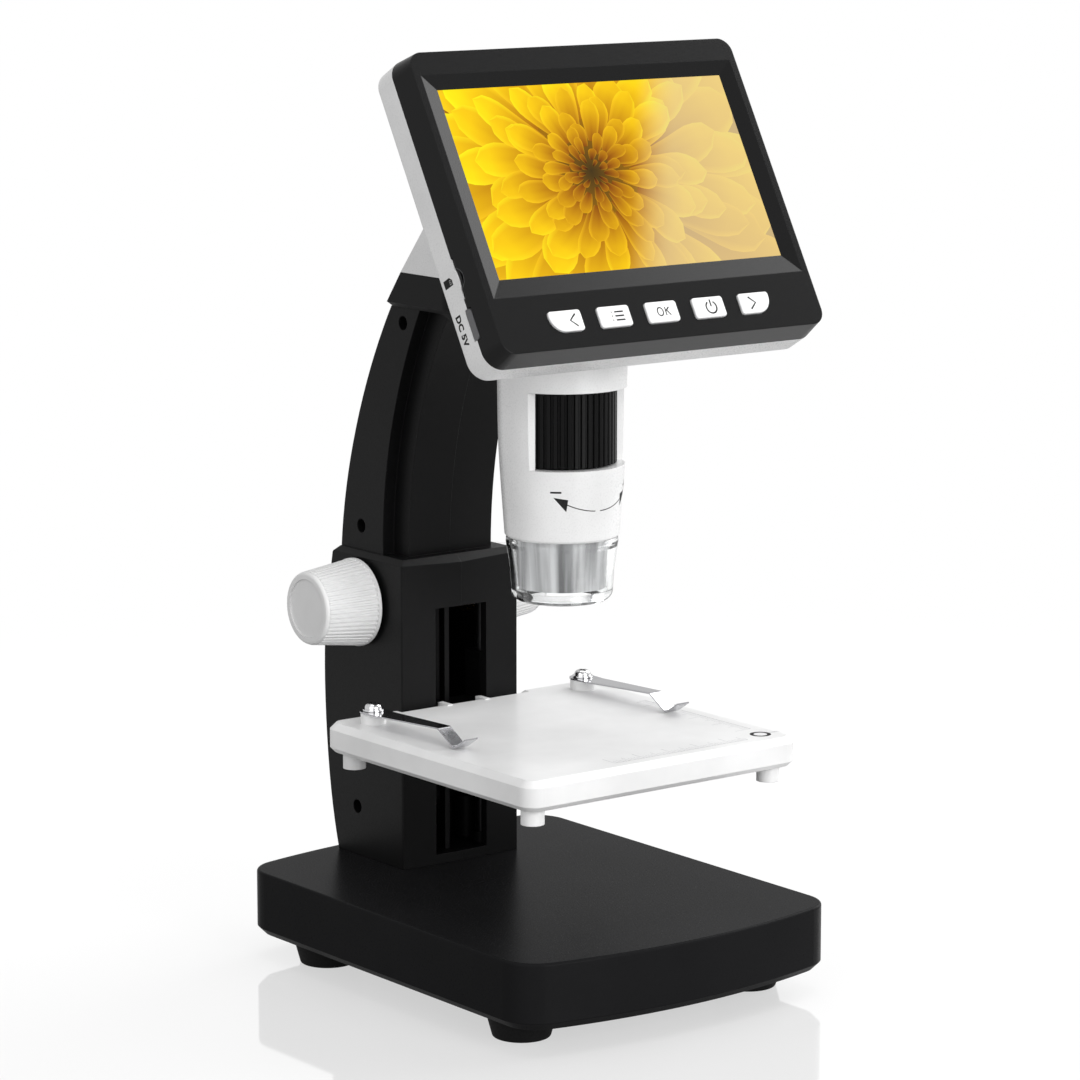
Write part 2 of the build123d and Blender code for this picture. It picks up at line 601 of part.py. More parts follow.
with BuildPart() as knob_right:
    with BuildSketch(Plane(origin=(KNOB_NEAR_X, KNOB_Y, KNOB_Z), x_dir=(0, 1, 0), z_dir=(1, 0, 0))):
        Circle(KNOB_BIG_R)
    extrude(amount=KNOB_RIM)
    with BuildSketch(Plane(origin=(KNOB_NEAR_X + KNOB_RIM, KNOB_Y, KNOB_Z), x_dir=(0, 1, 0), z_dir=(1, 0, 0))):
        Polygon(*gear_ring(KNOB_BIG_R - 0.15, 0.7, KNOB_RIBS, 0.34, 0.62), align=None)
    with BuildSketch(Plane(origin=(KNOB_FAR_X - KNOB_CAP, KNOB_Y, KNOB_Z), x_dir=(0, 1, 0), z_dir=(1, 0, 0))):
        Polygon(*gear_ring(KNOB_SMALL_R, 0.45, KNOB_RIBS, 0.34, 0.62), align=None)
    loft(ruled=True)
    with BuildSketch(Plane(origin=(KNOB_FAR_X - KNOB_CAP, KNOB_Y, KNOB_Z), x_dir=(0, 1, 0), z_dir=(1, 0, 0))):
        Circle(KNOB_SMALL_R - 0.1)
    extrude(amount=KNOB_CAP)
    fillet(knob_right.faces().sort_by(Axis.X)[-1].edges(), 1.0)
    with BuildSketch(Plane(origin=(KNOB_FAR_X, KNOB_Y, KNOB_Z), x_dir=(0, 1, 0), z_dir=(1, 0, 0))):
        Circle(8.25)
    extrude(amount=-0.5, mode=Mode.SUBTRACT)
    with BuildSketch(Plane(origin=(KNOB_NEAR_X, KNOB_Y, KNOB_Z), x_dir=(0, 1, 0), z_dir=(1, 0, 0))):
        Circle(KNOB_BIG_R - 3.4)
        Circle(SHAFT_R + 2.2, mode=Mode.SUBTRACT)
    extrude(amount=11.0, mode=Mode.SUBTRACT)
    with BuildSketch(Plane(origin=(KNOB_NEAR_X, KNOB_Y, KNOB_Z), x_dir=(0, 1, 0), z_dir=(1, 0, 0))):
        Circle(SHAFT_R)
    extrude(amount=KNOB_FAR_X - 3.0 - KNOB_NEAR_X, mode=Mode.SUBTRACT)

with BuildPart() as knob_left:
    mirror(knob_right.part, about=Plane.YZ)

# ================= stage =================

TONGUE_HALF_W = SLOT_HALF_W - 0.6
TONGUE_TOP = STAGE_TOP_Z - STAGE_SKIN
TONGUE_THICK = 4.4
TONGUE_FRONT_Y = 6.0
NOTCH_Y = COL_FRONT - GAP
WEB_TOP_Z = TONGUE_TOP + 0.7
STAGE_SCREWS = [(0, 11.0), (0, 24.0)]

with BuildPart() as stage_carriage:
    with BuildSketch(Plane.XY.offset(BLOCK_BOTTOM_Z)):
        with Locations((0, (BLOCK_FRONT_Y + RACK_BACK_Y) / 2)):
            Rectangle(2 * (COL_IN - PART_GAP), RACK_BACK_Y - BLOCK_FRONT_Y)
    extrude(amount=BLOCK_TOP_Z - BLOCK_BOTTOM_Z)
    chamfer(stage_carriage.edges().filter_by(Axis.Z), 1.0)
    # The middle stays low, so that nothing shows in the slot above the stage.
    with BuildSketch(Plane.XY.offset(WEB_TOP_Z)):
        with Locations((0, BLOCK_FRONT_Y)):
            Rectangle(2 * (ROD_X - ROD_R - 1.4), 20.0)
    extrude(amount=BLOCK_TOP_Z - WEB_TOP_Z, mode=Mode.SUBTRACT)
    with BuildSketch(Plane.XY.offset(BLOCK_BOTTOM_Z)):
        with Locations((-ROD_X, ROD_Y), (ROD_X, ROD_Y)):
            Circle(ROD_R + RUN_FIT)
    extrude(amount=BLOCK_TOP_Z - BLOCK_BOTTOM_Z, mode=Mode.SUBTRACT)
    # Tongue through the slot, under the stage plate.
    with BuildSketch(Plane.XY.offset(TONGUE_TOP - TONGUE_THICK)):
        with Locations((0, TONGUE_FRONT_Y)):
            Rectangle(2 * TONGUE_HALF_W, BLOCK_FRONT_Y + 1.0 - TONGUE_FRONT_Y, align=(Align.CENTER, Align.MIN))
    extrude(amount=TONGUE_THICK)
    # Groove that runs over the column's rib.
    with BuildSketch(Plane.XY.offset(BLOCK_BOTTOM_Z)):
        with Locations((PART_GAP, RIB_FRONT_Y - PART_GAP)):
            Rectangle(RIB_W + 2 * PART_GAP, RIB_DEPTH + 2 * PART_GAP, align=(Align.MAX, Align.MIN))
        with Locations((PART_GAP, BLOCK_FRONT_Y)):
            Rectangle(RIB_W + 2 * PART_GAP, RIB_DEPTH, align=(Align.MAX, Align.MIN))
    extrude(amount=WEB_TOP_Z - BLOCK_BOTTOM_Z, mode=Mode.SUBTRACT)
    with BuildSketch(Plane.XY.offset(TONGUE_TOP - TONGUE_THICK)):
        with Locations(*STAGE_SCREWS):
            Circle(1.5)
    extrude(amount=TONGUE_THICK, mode=Mode.SUBTRACT)

with BuildPart() as stage_rack:
    with BuildSketch(Plane.YZ):
        Polygon(*rack_points(BLOCK_BOTTOM_Z + 4.0, KNOB_Z + STAGE_DOWN + 7.0), align=None)
    extrude(amount=4.0, both=True)

LEGS = [(x, y) for x in (-LEG_X, LEG_X) for y in (LEG_Y_FRONT, LEG_Y_BACK)]
POSTS = [(-POST_X, POST_Y), (POST_X, POST_Y)]
STAGE_MID_Y = (STAGE_FRONT + STAGE_BACK) / 2
STAGE_DEPTH = STAGE_BACK - STAGE_FRONT

with BuildPart() as stage_plate:
    with BuildSketch(Plane.XY.offset(STAGE_BOTTOM_Z)):
        with Locations((0, STAGE_MID_Y)):
            RectangleRounded(2 * STAGE_HALF_W, STAGE_DEPTH, STAGE_CORNER_R)
        # The back edge is let in around the column's front.
        with Locations((0, NOTCH_Y + 10.0)):
            Rectangle(2 * (COL_HALF_W + PART_GAP), 20.0, mode=Mode.SUBTRACT)
    extrude(amount=STAGE_TOP_Z - STAGE_BOTTOM_Z)
    chamfer(stage_plate.faces().sort_by(Axis.Z)[-1].edges(), STAGE_BEVEL_TOP)
    chamfer(stage_plate.faces().sort_by(Axis.Z)[0].edges(), STAGE_BEVEL_BOTTOM)
    with BuildSketch(Plane.XY.offset(STAGE_BOTTOM_Z)):
        with Locations((0, STAGE_MID_Y - 1.0)):
            RectangleRounded(2 * STAGE_HALF_W - 7.0, STAGE_DEPTH - 10.0, 2.0)
    extrude(amount=STAGE_TOP_Z - STAGE_SKIN - STAGE_BOTTOM_Z, mode=Mode.SUBTRACT)
    with BuildSketch(Plane.XY.offset(STAGE_BOTTOM_Z + 1.0)):
        for x in (-28.0, -TONGUE_HALF_W - 1.2, TONGUE_HALF_W + 1.2, 28.0):
            with Locations((x, STAGE_MID_Y)):
                Rectangle(1.6, STAGE_DEPTH - 8.0)
        for y in (-40.0, -18.0, 4.0):
            with Locations((0, y)):
                Rectangle(2 * STAGE_HALF_W - 5.0, 1.6)
    extrude(amount=STAGE_TOP_Z - STAGE_SKIN - STAGE_BOTTOM_Z - 1.0)
    with BuildSketch(Plane.XY.offset(LEG_Z)):
        with Locations(*LEGS):
            Circle(LEG_R)
    extrude(amount=STAGE_TOP_Z - STAGE_SKIN - LEG_Z)
    with BuildSketch(Plane.XY.offset(STAGE_TOP_Z)):
        with Locations(*POSTS):
            Circle(POST_R)
    extrude(amount=POST_TOP_Z - STAGE_TOP_Z)
    with BuildSketch(Plane.XY.offset(STAGE_BOTTOM_Z + 1.0)):
        with Locations(*POSTS):
            Circle(POST_R)
    extrude(amount=STAGE_TOP_Z - STAGE_BOTTOM_Z - 1.0)
    with BuildSketch(Plane.XY.offset(STAGE_BOTTOM_Z + 2.0)):
        with Locations(*POSTS):
            Circle(1.3)
    extrude(amount=POST_TOP_Z - STAGE_BOTTOM_Z - 2.0, mode=Mode.SUBTRACT)
    # Way for the tongue through the back wall.
    with BuildSketch(Plane.XY.offset(STAGE_BOTTOM_Z)):
        with Locations((0, NOTCH_Y)):
            Rectangle(2 * TONGUE_HALF_W + 2 * SLIDE_FIT, 14.0)
        with Locations((0, 17.0)):
            Rectangle(2 * TONGUE_HALF_W + 2 * SLIDE_FIT, 24.0)
    extrude(amount=TONGUE_TOP - STAGE_BOTTOM_Z, mode=Mode.SUBTRACT)
    with BuildSketch(Plane.XY.offset(TONGUE_TOP)):
        with Locations(*STAGE_SCREWS):
            Circle(1.2)
    extrude(amount=STAGE_SKIN - 0.8, mode=Mode.SUBTRACT)
    # Two lugs reach back into the slot, over the tongue.
    with BuildSketch(Plane.XY.offset(TONGUE_TOP + SLIDE_FIT)):
        with Locations((-LUG_X, NOTCH_Y - 3.0), (LUG_X, NOTCH_Y - 3.0)):
            Rectangle(LUG_W, COL_FRONT + LUG_REACH - NOTCH_Y + 3.0, align=(Align.CENTER, Align.MIN))
    extrude(amount=STAGE_TOP_Z + 0.3 - TONGUE_TOP - SLIDE_FIT)

with BuildPart() as stage_screws:
    with Locations(*[(x, y, TONGUE_TOP - TONGUE_THICK) for x, y in STAGE_SCREWS]):
        Cylinder(2.6, 1.6, align=(Align.CENTER, Align.CENTER, Align.MAX))
        Cylinder(1.2, TONGUE_THICK + STAGE_SKIN - 0.8, align=(Align.CENTER, Align.CENTER, Align.MIN))

CLIP_Z = POST_TOP_Z + SLIDE_FIT + CLIP_T / 2
CLIP_PATH = [(POST_Y + POST_R, CLIP_Z), (POST_Y - 5.0, CLIP_Z), (-8.1, STAGE_TOP_Z + 4.6),
             (-15.2, STAGE_TOP_Z + SLIDE_FIT + CLIP_T / 2 + 0.1), (POST_Y - CLIP_TIP, STAGE_TOP_Z + 3.6)]

with BuildPart() as clip_left:
    with BuildSketch(Plane.YZ.offset(-POST_X)):
        with BuildLine() as bend:
            FilletPolyline(*CLIP_PATH, radius=CLIP_BEND_R)
        trace(bend.line, line_width=CLIP_T)
    extrude(amount=CLIP_ROOT_W / 2, both=True)
    # Seen from above, the spring narrows from its root to the bend.
    with BuildSketch(Plane.XY.offset(STAGE_TOP_Z)):
        with Locations((-POST_X, 0)):
            Polygon((-CLIP_ROOT_W / 2, POST_Y), (-CLIP_W / 2, -9.0), (-CLIP_W / 2, POST_Y - CLIP_TIP - 1.0),
                    (CLIP_W / 2, POST_Y - CLIP_TIP - 1.0), (CLIP_W / 2, -9.0), (CLIP_ROOT_W / 2, POST_Y),
                    align=None)
        with Locations(POSTS[0]):
            Circle(CLIP_ROOT_W / 2 + 0.05)
    extrude(amount=10.0, mode=Mode.INTERSECT)
    with BuildSketch(Plane.XY.offset(CLIP_Z - CLIP_T / 2)):
        with Locations(POSTS[0]):
            Circle(CLIP_ROOT_W / 2)
    extrude(amount=CLIP_T)
    with BuildSketch(Plane.XY.offset(POST_TOP_Z - 1)):
        with Locations(POSTS[0]):
            Circle(1.3 + SLIDE_FIT)
    extrude(amount=4.0, mode=Mode.SUBTRACT)

with BuildPart() as clip_right:
    mirror(clip_left.part, about=Plane.YZ)

with BuildPart() as clip_screws:
    with Locations(*[(x, y, POST_TOP_Z + 2 * SLIDE_FIT + CLIP_T) for x, y in POSTS]):
        Cylinder(2.9, 0.5, align=(Align.CENTER, Align.CENTER, Align.MIN))
    with Locations(*[(x, y, POST_TOP_Z + 2 * SLIDE_FIT + CLIP_T + 0.5) for x, y in POSTS]):
        Cylinder(2.35, 1.5, align=(Align.CENTER, Align.CENTER, Align.MIN))
    fillet(clip_screws.faces().group_by(Axis.Z)[-1].edges(), 1.2)
    with Locations(*[(x, y, POST_TOP_Z + 2 * SLIDE_FIT + CLIP_T) for x, y in POSTS]):
        Cylinder(1.3, 8.0, align=(Align.CENTER, Align.CENTER, Align.MAX))
    with Locations(*[(x, y, POST_TOP_Z + 2 * SLIDE_FIT + CLIP_T + 1.1) for x, y in POSTS]):
        Box(2.8, 0.6, 1.0, align=(Align.CENTER, Align.CENTER, Align.MIN), mode=Mode.SUBTRACT)
        Box(0.6, 2.8, 1.0, align=(Align.CENTER, Align.CENTER, Align.MIN), mode=Mode.SUBTRACT)

# ================= display head =================

CASE_BACK_Y = LCD_Y - BACK_D * cos(radians(TILT))
CASE_BACK_Z = LCD_Z + BACK_D * sin(radians(TILT))


def back_plane_y(z, deeper=0.0):
    """y of the case's back at height z, or of the plane deeper mm inside it."""
    y = CASE_BACK_Y - deeper * cos(radians(TILT))
    base_z = CASE_BACK_Z + deeper * sin(radians(TILT))
    return y + (z - base_z) * tan(radians(TILT))


def neck_profile(inset, deeper):
    """Side view of the wedge behind the display, inset mm inside its outline."""
    foot_y = COLLAR_REAR_TOP - inset / cos(radians(NECK_LEAN))
    foot_z = COLLAR_TOP_Z + inset
    foot_y -= inset * tan(radians(NECK_LEAN))
    # Height at which the leaning rear meets the case.
    lean = tan(radians(NECK_LEAN))
    tilt = tan(radians(TILT))
    top_z = foot_z + (foot_y - back_plane_y(foot_z, deeper)) / (lean + tilt)
    return [(foot_y, foot_z), (back_plane_y(top_z, deeper), top_z), (back_plane_y(foot_z, deeper), foot_z)]


# Keys: cap with its own corner shape, a wider flange behind the face and a short plunger.
BIG_CORNER = 4.6
SMALL_CORNER = 0.9


def key_face(grow, left_round, right_round):
    """Outline of a key cap, grown by grow mm, with a large lower corner where asked."""
    half_w = BUTTON_W / 2 + grow
    half_h = BUTTON_H / 2 + grow
    with BuildSketch() as face:
        Rectangle(2 * half_w, 2 * half_h)
        for x, y, radius in ((-half_w, half_h, SMALL_CORNER), (half_w, half_h, SMALL_CORNER),
                             (-half_w, -half_h, BIG_CORNER if left_round else SMALL_CORNER),
                             (half_w, -half_h, BIG_CORNER if right_round else SMALL_CORNER)):
            fillet(face.vertices().sort_by_distance((x, y))[0], radius + grow)
    return face.sketch


KEY_FACES = [key_face(0, u == BUTTON_U[0], u == BUTTON_U[-1]) for u in BUTTON_U]
KEY_HOLES = [key_face(CAP_GAP, u == BUTTON_U[0], u == BUTTON_U[-1]) for u in BUTTON_U]
BOARD_D = -8.6
BOARD_T = 1.2
LCD_BACK_D = -3.7
BEZEL_FLOOR_D = -0.8
CASE_SCREW_U = IN_HALF_U - 4.7
CASE_SCREW_V = FACE_BOTTOM_V - FLARE + HEAD_WALL + 4.6
CASE_SCREWS = [(-CASE_SCREW_U, CASE_SCREW_V), (CASE_SCREW_U, CASE_SCREW_V)]
BOARD_HALF_W = IN_HALF_U - 5.5
BOARD_POSTS = [(u, v) for u in (6.0 - BOARD_HALF_W, BOARD_HALF_W - 6.0) for v in (4.0 - BOARD_H / 2, BOARD_H / 2 - 4.0)]



def side_plane(depth):
    """Plane of the head's left side, depth mm inside it, with x up the slope and y towards the viewer."""
    origin = at(SEAM_D).from_local_coords(Vector(-FACE_HALF_U - FLARE + depth, CARD_V, 0))
    return Plane(origin=origin, x_dir=LCD_PLANE.y_dir, z_dir=(1, 0, 0))


# Card slot seen from the side: a bump on the case, the socket's mouth over it, a thumb notch in the bezel.
BUMP_R = 11.0
BUMP_RISE = 0.42
MOUTH_T = 1.05


def card_outline(shrink):
    """Opening of the card slot: a straight slot with a thumb notch above its middle."""
    with BuildSketch() as outline:
        Rectangle(CARD_W - 2 * shrink, CARD_T - shrink, align=(Align.CENTER, Align.MIN))
        with Locations((0, THUMB_RISE - THUMB_R)):
            Circle(THUMB_R - shrink)
        with Locations((0, 0)):
            Rectangle(40.0, 20.0, align=(Align.CENTER, Align.MAX), mode=Mode.SUBTRACT)
    return outline.sketch


with BuildSketch() as bump:
    with Locations((0, BUMP_RISE - BUMP_R)):
        Circle(BUMP_R)
    Rectangle(40.0, 40.0, align=(Align.CENTER, Align.MAX), mode=Mode.SUBTRACT)
CARD_BUMP = bump.sketch
CARD_HOLE = card_outline(0)

with BuildSketch() as mouth:
    with Locations((0, BUMP_RISE - BUMP_R)):
        Circle(BUMP_R + MOUTH_T)
    add(card_outline(0.05), mode=Mode.INTERSECT)
    Rectangle(CARD_W - 0.1, CARD_T - 0.05, align=(Align.CENTER, Align.MIN))
    with Locations((0, BUMP_RISE - BUMP_R)):
        Circle(BUMP_R + 0.05, mode=Mode.SUBTRACT)
    Rectangle(40.0, 0.05, align=(Align.CENTER, Align.MIN), mode=Mode.SUBTRACT)
CARD_MOUTH = mouth.sketch

with BuildPart() as rear_case:
    with BuildSketch(at(BACK_D)):
        add(HEAD_SEAM)
    extrude(amount=SEAM_D - BACK_D)
    fillet(rear_case.faces().sort_by(Axis((0, 0, 0), LCD_PLANE.z_dir))[0].edges(), 1.2)
    with BuildSketch(Plane.YZ):
        Polygon(*neck_profile(0, 1.0), align=None)
    extrude(amount=NECK_HALF_W, both=True)
    with BuildSketch(at(BACK_D + HEAD_WALL)):
        add(HEAD_SEAM_IN)
    extrude(amount=SEAM_D - BACK_D, mode=Mode.SUBTRACT)
    with BuildSketch(Plane.YZ):
        Polygon(*neck_profile(WALL, HEAD_WALL + 0.5), align=None)
    extrude(amount=NECK_HALF_W - WALL, both=True, mode=Mode.SUBTRACT)
    # Floor of the neck: way for the arm's tenon and for the wires of the barrel.
    with BuildSketch(Plane.XY.offset(COLLAR_TOP_Z - 0.5)):
        with Locations((0, TENON_Y)):
            Rectangle(2 * ARM_IN + 2 * SLIDE_FIT, TENON_DEPTH + 2 * SLIDE_FIT)
        with Locations((0, BARREL_Y)):
            Circle(9.0)
    extrude(amount=WALL + 0.6, mode=Mode.SUBTRACT)
    with BuildSketch(at(BACK_D + HEAD_WALL * 0.5)):
        with Locations(*CASE_SCREWS):
            Circle(3.2)
    extrude(amount=SEAM_D - BACK_D - HEAD_WALL * 0.5)
    with BuildSketch(at(BACK_D + HEAD_WALL * 0.5)):
        with Locations(*BOARD_POSTS):
            Circle(2.4)
    extrude(amount=BOARD_D - BACK_D - HEAD_WALL * 0.5)
    with BuildSketch(at(BACK_D)):
        with Locations(*CASE_SCREWS):
            Circle(2.4)
    extrude(amount=4.0, mode=Mode.SUBTRACT)
    with BuildSketch(at(BACK_D)):
        with Locations(*CASE_SCREWS):
            Circle(1.3)
    extrude(amount=SEAM_D - BACK_D, mode=Mode.SUBTRACT)
    # Loudspeaker-free back: a row of slots lets the board breathe.
    with BuildSketch(at(BACK_D)):
        for row in range(5):
            for u in (-36.0, 36.0):
                with Locations((u, 12.0 + row * 3.2)):
                    SlotOverall(16.0, 1.4)
    extrude(amount=HEAD_WALL + 0.1, mode=Mode.SUBTRACT)
    # Port, open through the left side at the seam, and the bump that frames the card slot.
    with BuildSketch(at(SEAM_D - PORT_T / 2 - SLIDE_FIT)):
        with Locations((-FACE_HALF_U - FLARE, PORT_V)):
            Rectangle(6.0, PORT_W + 2 * SLIDE_FIT)
    extrude(amount=PORT_T, mode=Mode.SUBTRACT)
    with BuildSketch(side_plane(0)):
        add(CARD_BUMP)
    extrude(amount=HEAD_WALL)

with BuildPart() as front_bezel:
    with BuildSketch(at(SEAM_D)):
        add(HEAD_SEAM)
    with BuildSketch(at(FACE_D)):
        add(HEAD_FRONT)
    loft(ruled=True)
    with BuildSketch(at(SEAM_D)):
        add(HEAD_SEAM_IN)
    extrude(amount=BEZEL_FLOOR_D - SEAM_D, mode=Mode.SUBTRACT)
    # Sloping bevel down to the screen, then the opening through the floor.
    with BuildSketch(at(0)):
        Rectangle(2 * LCD_HALF_U, 2 * LCD_HALF_V)
    with BuildSketch(at(FACE_D)):
        with Locations((0, (BEVEL_TOP_V + BEVEL_BOTTOM_V) / 2)):
            Rectangle(2 * BEVEL_HALF_U, BEVEL_TOP_V - BEVEL_BOTTOM_V)
    loft(ruled=True, mode=Mode.SUBTRACT)
    with BuildSketch(at(BEZEL_FLOOR_D - 0.5)):
        Rectangle(2 * LCD_HALF_U, 2 * LCD_HALF_V)
    extrude(amount=0.55 - BEZEL_FLOOR_D, mode=Mode.SUBTRACT)
    # Places for the keys.
    with BuildSketch(at(BEZEL_FLOOR_D - 0.5)):
        for u, hole in zip(BUTTON_U, KEY_HOLES):
            with Locations((u, BUTTON_V)):
                add(hole)
    extrude(amount=FACE_D - BEZEL_FLOOR_D + 1.0, mode=Mode.SUBTRACT)
    with BuildSketch(at(SEAM_D)):
        with Locations(*CASE_SCREWS):
            Circle(2.6)
    extrude(amount=BEZEL_FLOOR_D - SEAM_D + 0.2)
    with BuildSketch(at(SEAM_D)):
        with Locations(*CASE_SCREWS):
            Circle(1.1)
    extrude(amount=4.0, mode=Mode.SUBTRACT)
    # Two snap lugs reach back behind the case's top wall.
    with BuildSketch(at(SEAM_D - 3.0)):
        with Locations((-30.0, IN_TOP_V - CAP_GAP), (30.0, IN_TOP_V - CAP_GAP)):
            Rectangle(9.0, 1.4, align=(Align.CENTER, Align.MAX))
    extrude(amount=BEZEL_FLOOR_D - SEAM_D + 3.2)
    # Card slot with its thumb notch, then the port's half of the opening.
    with BuildSketch(side_plane(-0.5)):
        add(CARD_HOLE)
    extrude(amount=HEAD_WALL + 1.0, mode=Mode.SUBTRACT)
    with BuildSketch(at(SEAM_D)):
        with Locations((-FACE_HALF_U - FLARE, PORT_V)):
            Rectangle(6.0, PORT_W + 2 * SLIDE_FIT)
    extrude(amount=PORT_T / 2 + 0.25, mode=Mode.SUBTRACT)

with BuildPart() as cover_glass:
    with BuildSketch(at(BEZEL_FLOOR_D)):
        Rectangle(2 * LCD_HALF_U - 2 * SLIDE_FIT, 2 * LCD_HALF_V - 2 * SLIDE_FIT)
    extrude(amount=-BEZEL_FLOOR_D - 0.05)

with BuildPart() as lcd_panel:
    with BuildSketch(at(LCD_BACK_D)):
        with Locations((0, -0.8)):
            RectangleRounded(2 * IN_HALF_U - 1.6, 2 * LCD_HALF_V + 12.5, 0.8)
    extrude(amount=BEZEL_FLOOR_D - LCD_BACK_D)

with BuildPart() as main_board:
    with BuildSketch(at(BOARD_D)):
        with Locations((0, 0)):
            Rectangle(2 * BOARD_HALF_W, BOARD_H)
        with Locations(*BOARD_POSTS):
            Circle(1.2, mode=Mode.SUBTRACT)
    extrude(amount=BOARD_T)

with BuildPart() as board_chips:
    with BuildSketch(at(BOARD_D + BOARD_T)):
        with Locations((0, 4.0)):
            Rectangle(14.0, 14.0)
        with Locations((22.0, 6.0), (22.0, -8.0)):
            Rectangle(9.0, 11.0)
        with Locations((-22.0, 10.0)):
            Rectangle(6.0, 5.0)
        with Locations((-8.0, -16.0), (2.0, -16.0), (12.0, -18.0)):
            Rectangle(4.0, 4.0)
    extrude(amount=1.2)

with BuildPart() as battery:
    with BuildSketch(at(BACK_D + HEAD_WALL)):
        with Locations((0, -15.0)):
            RectangleRounded(62.0, 26.0, 1.0)
    extrude(amount=BOARD_D - BACK_D - HEAD_WALL - 0.2)
    fillet(battery.edges().group_by(Axis((0, 0, 0), LCD_PLANE.z_dir))[-1], 0.8)

CARD_SOCKET_U = IN_HALF_U - 7.2
PORT_SOCKET_U = IN_HALF_U - 5.1

with BuildPart() as card_socket:
    with BuildSketch(at(BOARD_D + BOARD_T)):
        with Locations((-CARD_SOCKET_U, CARD_V)):
            Rectangle(14.0, CARD_W + 2.0)
    extrude(amount=SEAM_D + 1.4 - BOARD_D - BOARD_T)
    with BuildSketch(at(SEAM_D + 0.1)):
        with Locations((-CARD_SOCKET_U - 1.0, CARD_V)):
            Rectangle(14.0, CARD_W)
    extrude(amount=CARD_T, mode=Mode.SUBTRACT)
    # Mouth plate that fills the slot's lower part, flush with the side.
    with BuildSketch(side_plane(0.35)):
        add(CARD_MOUTH)
    extrude(amount=IN_HALF_U - CARD_SOCKET_U - 7.0 + HEAD_WALL)

with BuildPart() as port_socket:
    with BuildSketch(at(BOARD_D + BOARD_T)):
        with Locations((-PORT_SOCKET_U, PORT_V)):
            Rectangle(7.0, 7.0)
    extrude(amount=2.6)
    with BuildSketch(at(SEAM_D - 0.6)):
        with Locations((-PORT_SOCKET_U - 1.0, PORT_V)):
            Rectangle(7.0, 6.2)
    extrude(amount=1.4, mode=Mode.SUBTRACT)
    # Small board that carries the socket, below the main board.
    with BuildSketch(at(BOARD_D)):
        with Locations((-PORT_SOCKET_U + 4.4, PORT_V + 1.0)):
            Rectangle(16.0, 7.0)
    extrude(amount=BOARD_T)

with BuildPart() as port_cover:
    with BuildSketch(Plane(origin=at(SEAM_D).from_local_coords(Vector(-FACE_HALF_U - FLARE, PORT_V, 0)),
                           x_dir=LCD_PLANE.y_dir, z_dir=(1, 0, 0))):
        SlotOverall(PORT_W, PORT_T)
    extrude(amount=HEAD_WALL)
    with BuildSketch(Plane(origin=at(SEAM_D).from_local_coords(Vector(-FACE_HALF_U - FLARE + HEAD_WALL, PORT_V, 0)),
                           x_dir=LCD_PLANE.y_dir, z_dir=(1, 0, 0))):
        Rectangle(5.6, 0.9)
    extrude(amount=2.6)

FLANGE_D = BEZEL_FLOOR_D - SLIDE_FIT
KEY_NAMES = ["key_back", "key_menu", "key_ok", "key_power", "key_forward"]
SWITCH_TOP_D = FLANGE_D - 1.4 - BUTTON_TRAVEL - 0.1

KEYS = []
for name, u, face in zip(KEY_NAMES, BUTTON_U, KEY_FACES):
    with BuildPart() as key:
        with BuildSketch(at(FLANGE_D)):
            with Locations((u, BUTTON_V)):
                add(face)
        extrude(amount=FACE_D + BUTTON_PROUD - FLANGE_D)
        fillet(key.faces().sort_by(Axis((0, 0, 0), LCD_PLANE.z_dir))[-1].edges(), 0.35)
        with BuildSketch(at(FLANGE_D - 0.8)):
            with Locations((u, BUTTON_V)):
                Rectangle(BUTTON_W + 2.2, BUTTON_H + 1.6)
        extrude(amount=0.8)
        with BuildSketch(at(FLANGE_D - 1.4)):
            with Locations((u, BUTTON_V)):
                Circle(1.2)
        extrude(amount=0.6)
    KEYS.append(key)

with BuildPart() as key_board:
    with BuildSketch(at(SWITCH_TOP_D - 1.6 - 1.0)):
        with Locations((0, BUTTON_V - 0.6)):
            Rectangle(2 * BUTTON_U[-1] + 14.0, 9.4)
    extrude(amount=1.0)

with BuildPart() as key_switches:
    with BuildSketch(at(SWITCH_TOP_D - 1.6)):
        with Locations(*[(u, BUTTON_V) for u in BUTTON_U]):
            Rectangle(5.2, 5.2)
    extrude(amount=1.0)
    with BuildSketch(at(SWITCH_TOP_D - 0.6)):
        with Locations(*[(u, BUTTON_V) for u in BUTTON_U]):
            Circle(1.5)
    extrude(amount=0.6)

with BuildPart() as case_screws:
    for u, v in CASE_SCREWS:
        with Locations(at(BACK_D + 4.0)):
            with Locations((u, v, 0)):
                Cylinder(2.1, 1.6, align=(Align.CENTER, Align.CENTER, Align.MAX))
                Cylinder(1.1, 7.5, align=(Align.CENTER, Align.CENTER, Align.MIN))

# ================= barrel =================

SLEEVE_BORE = CORE_R + 2.7
PLUG_R = SLEEVE_BORE + 1.2
PLUG_WALL = 1.2
CUP_PLUG_Z = WINDOW_BOTTOM_Z - 12.8
SLEEVE_WHEEL_BORE = WHEEL_R + 0.35
SLEEVE_TOP_R = SLEEVE[0][0]
CORE_BOTTOM_Z = SLEEVE_BOTTOM_Z + 2.2
CEILING_Z = COLLAR_TOP_Z - 2.6
LED_RING_R = 10.3

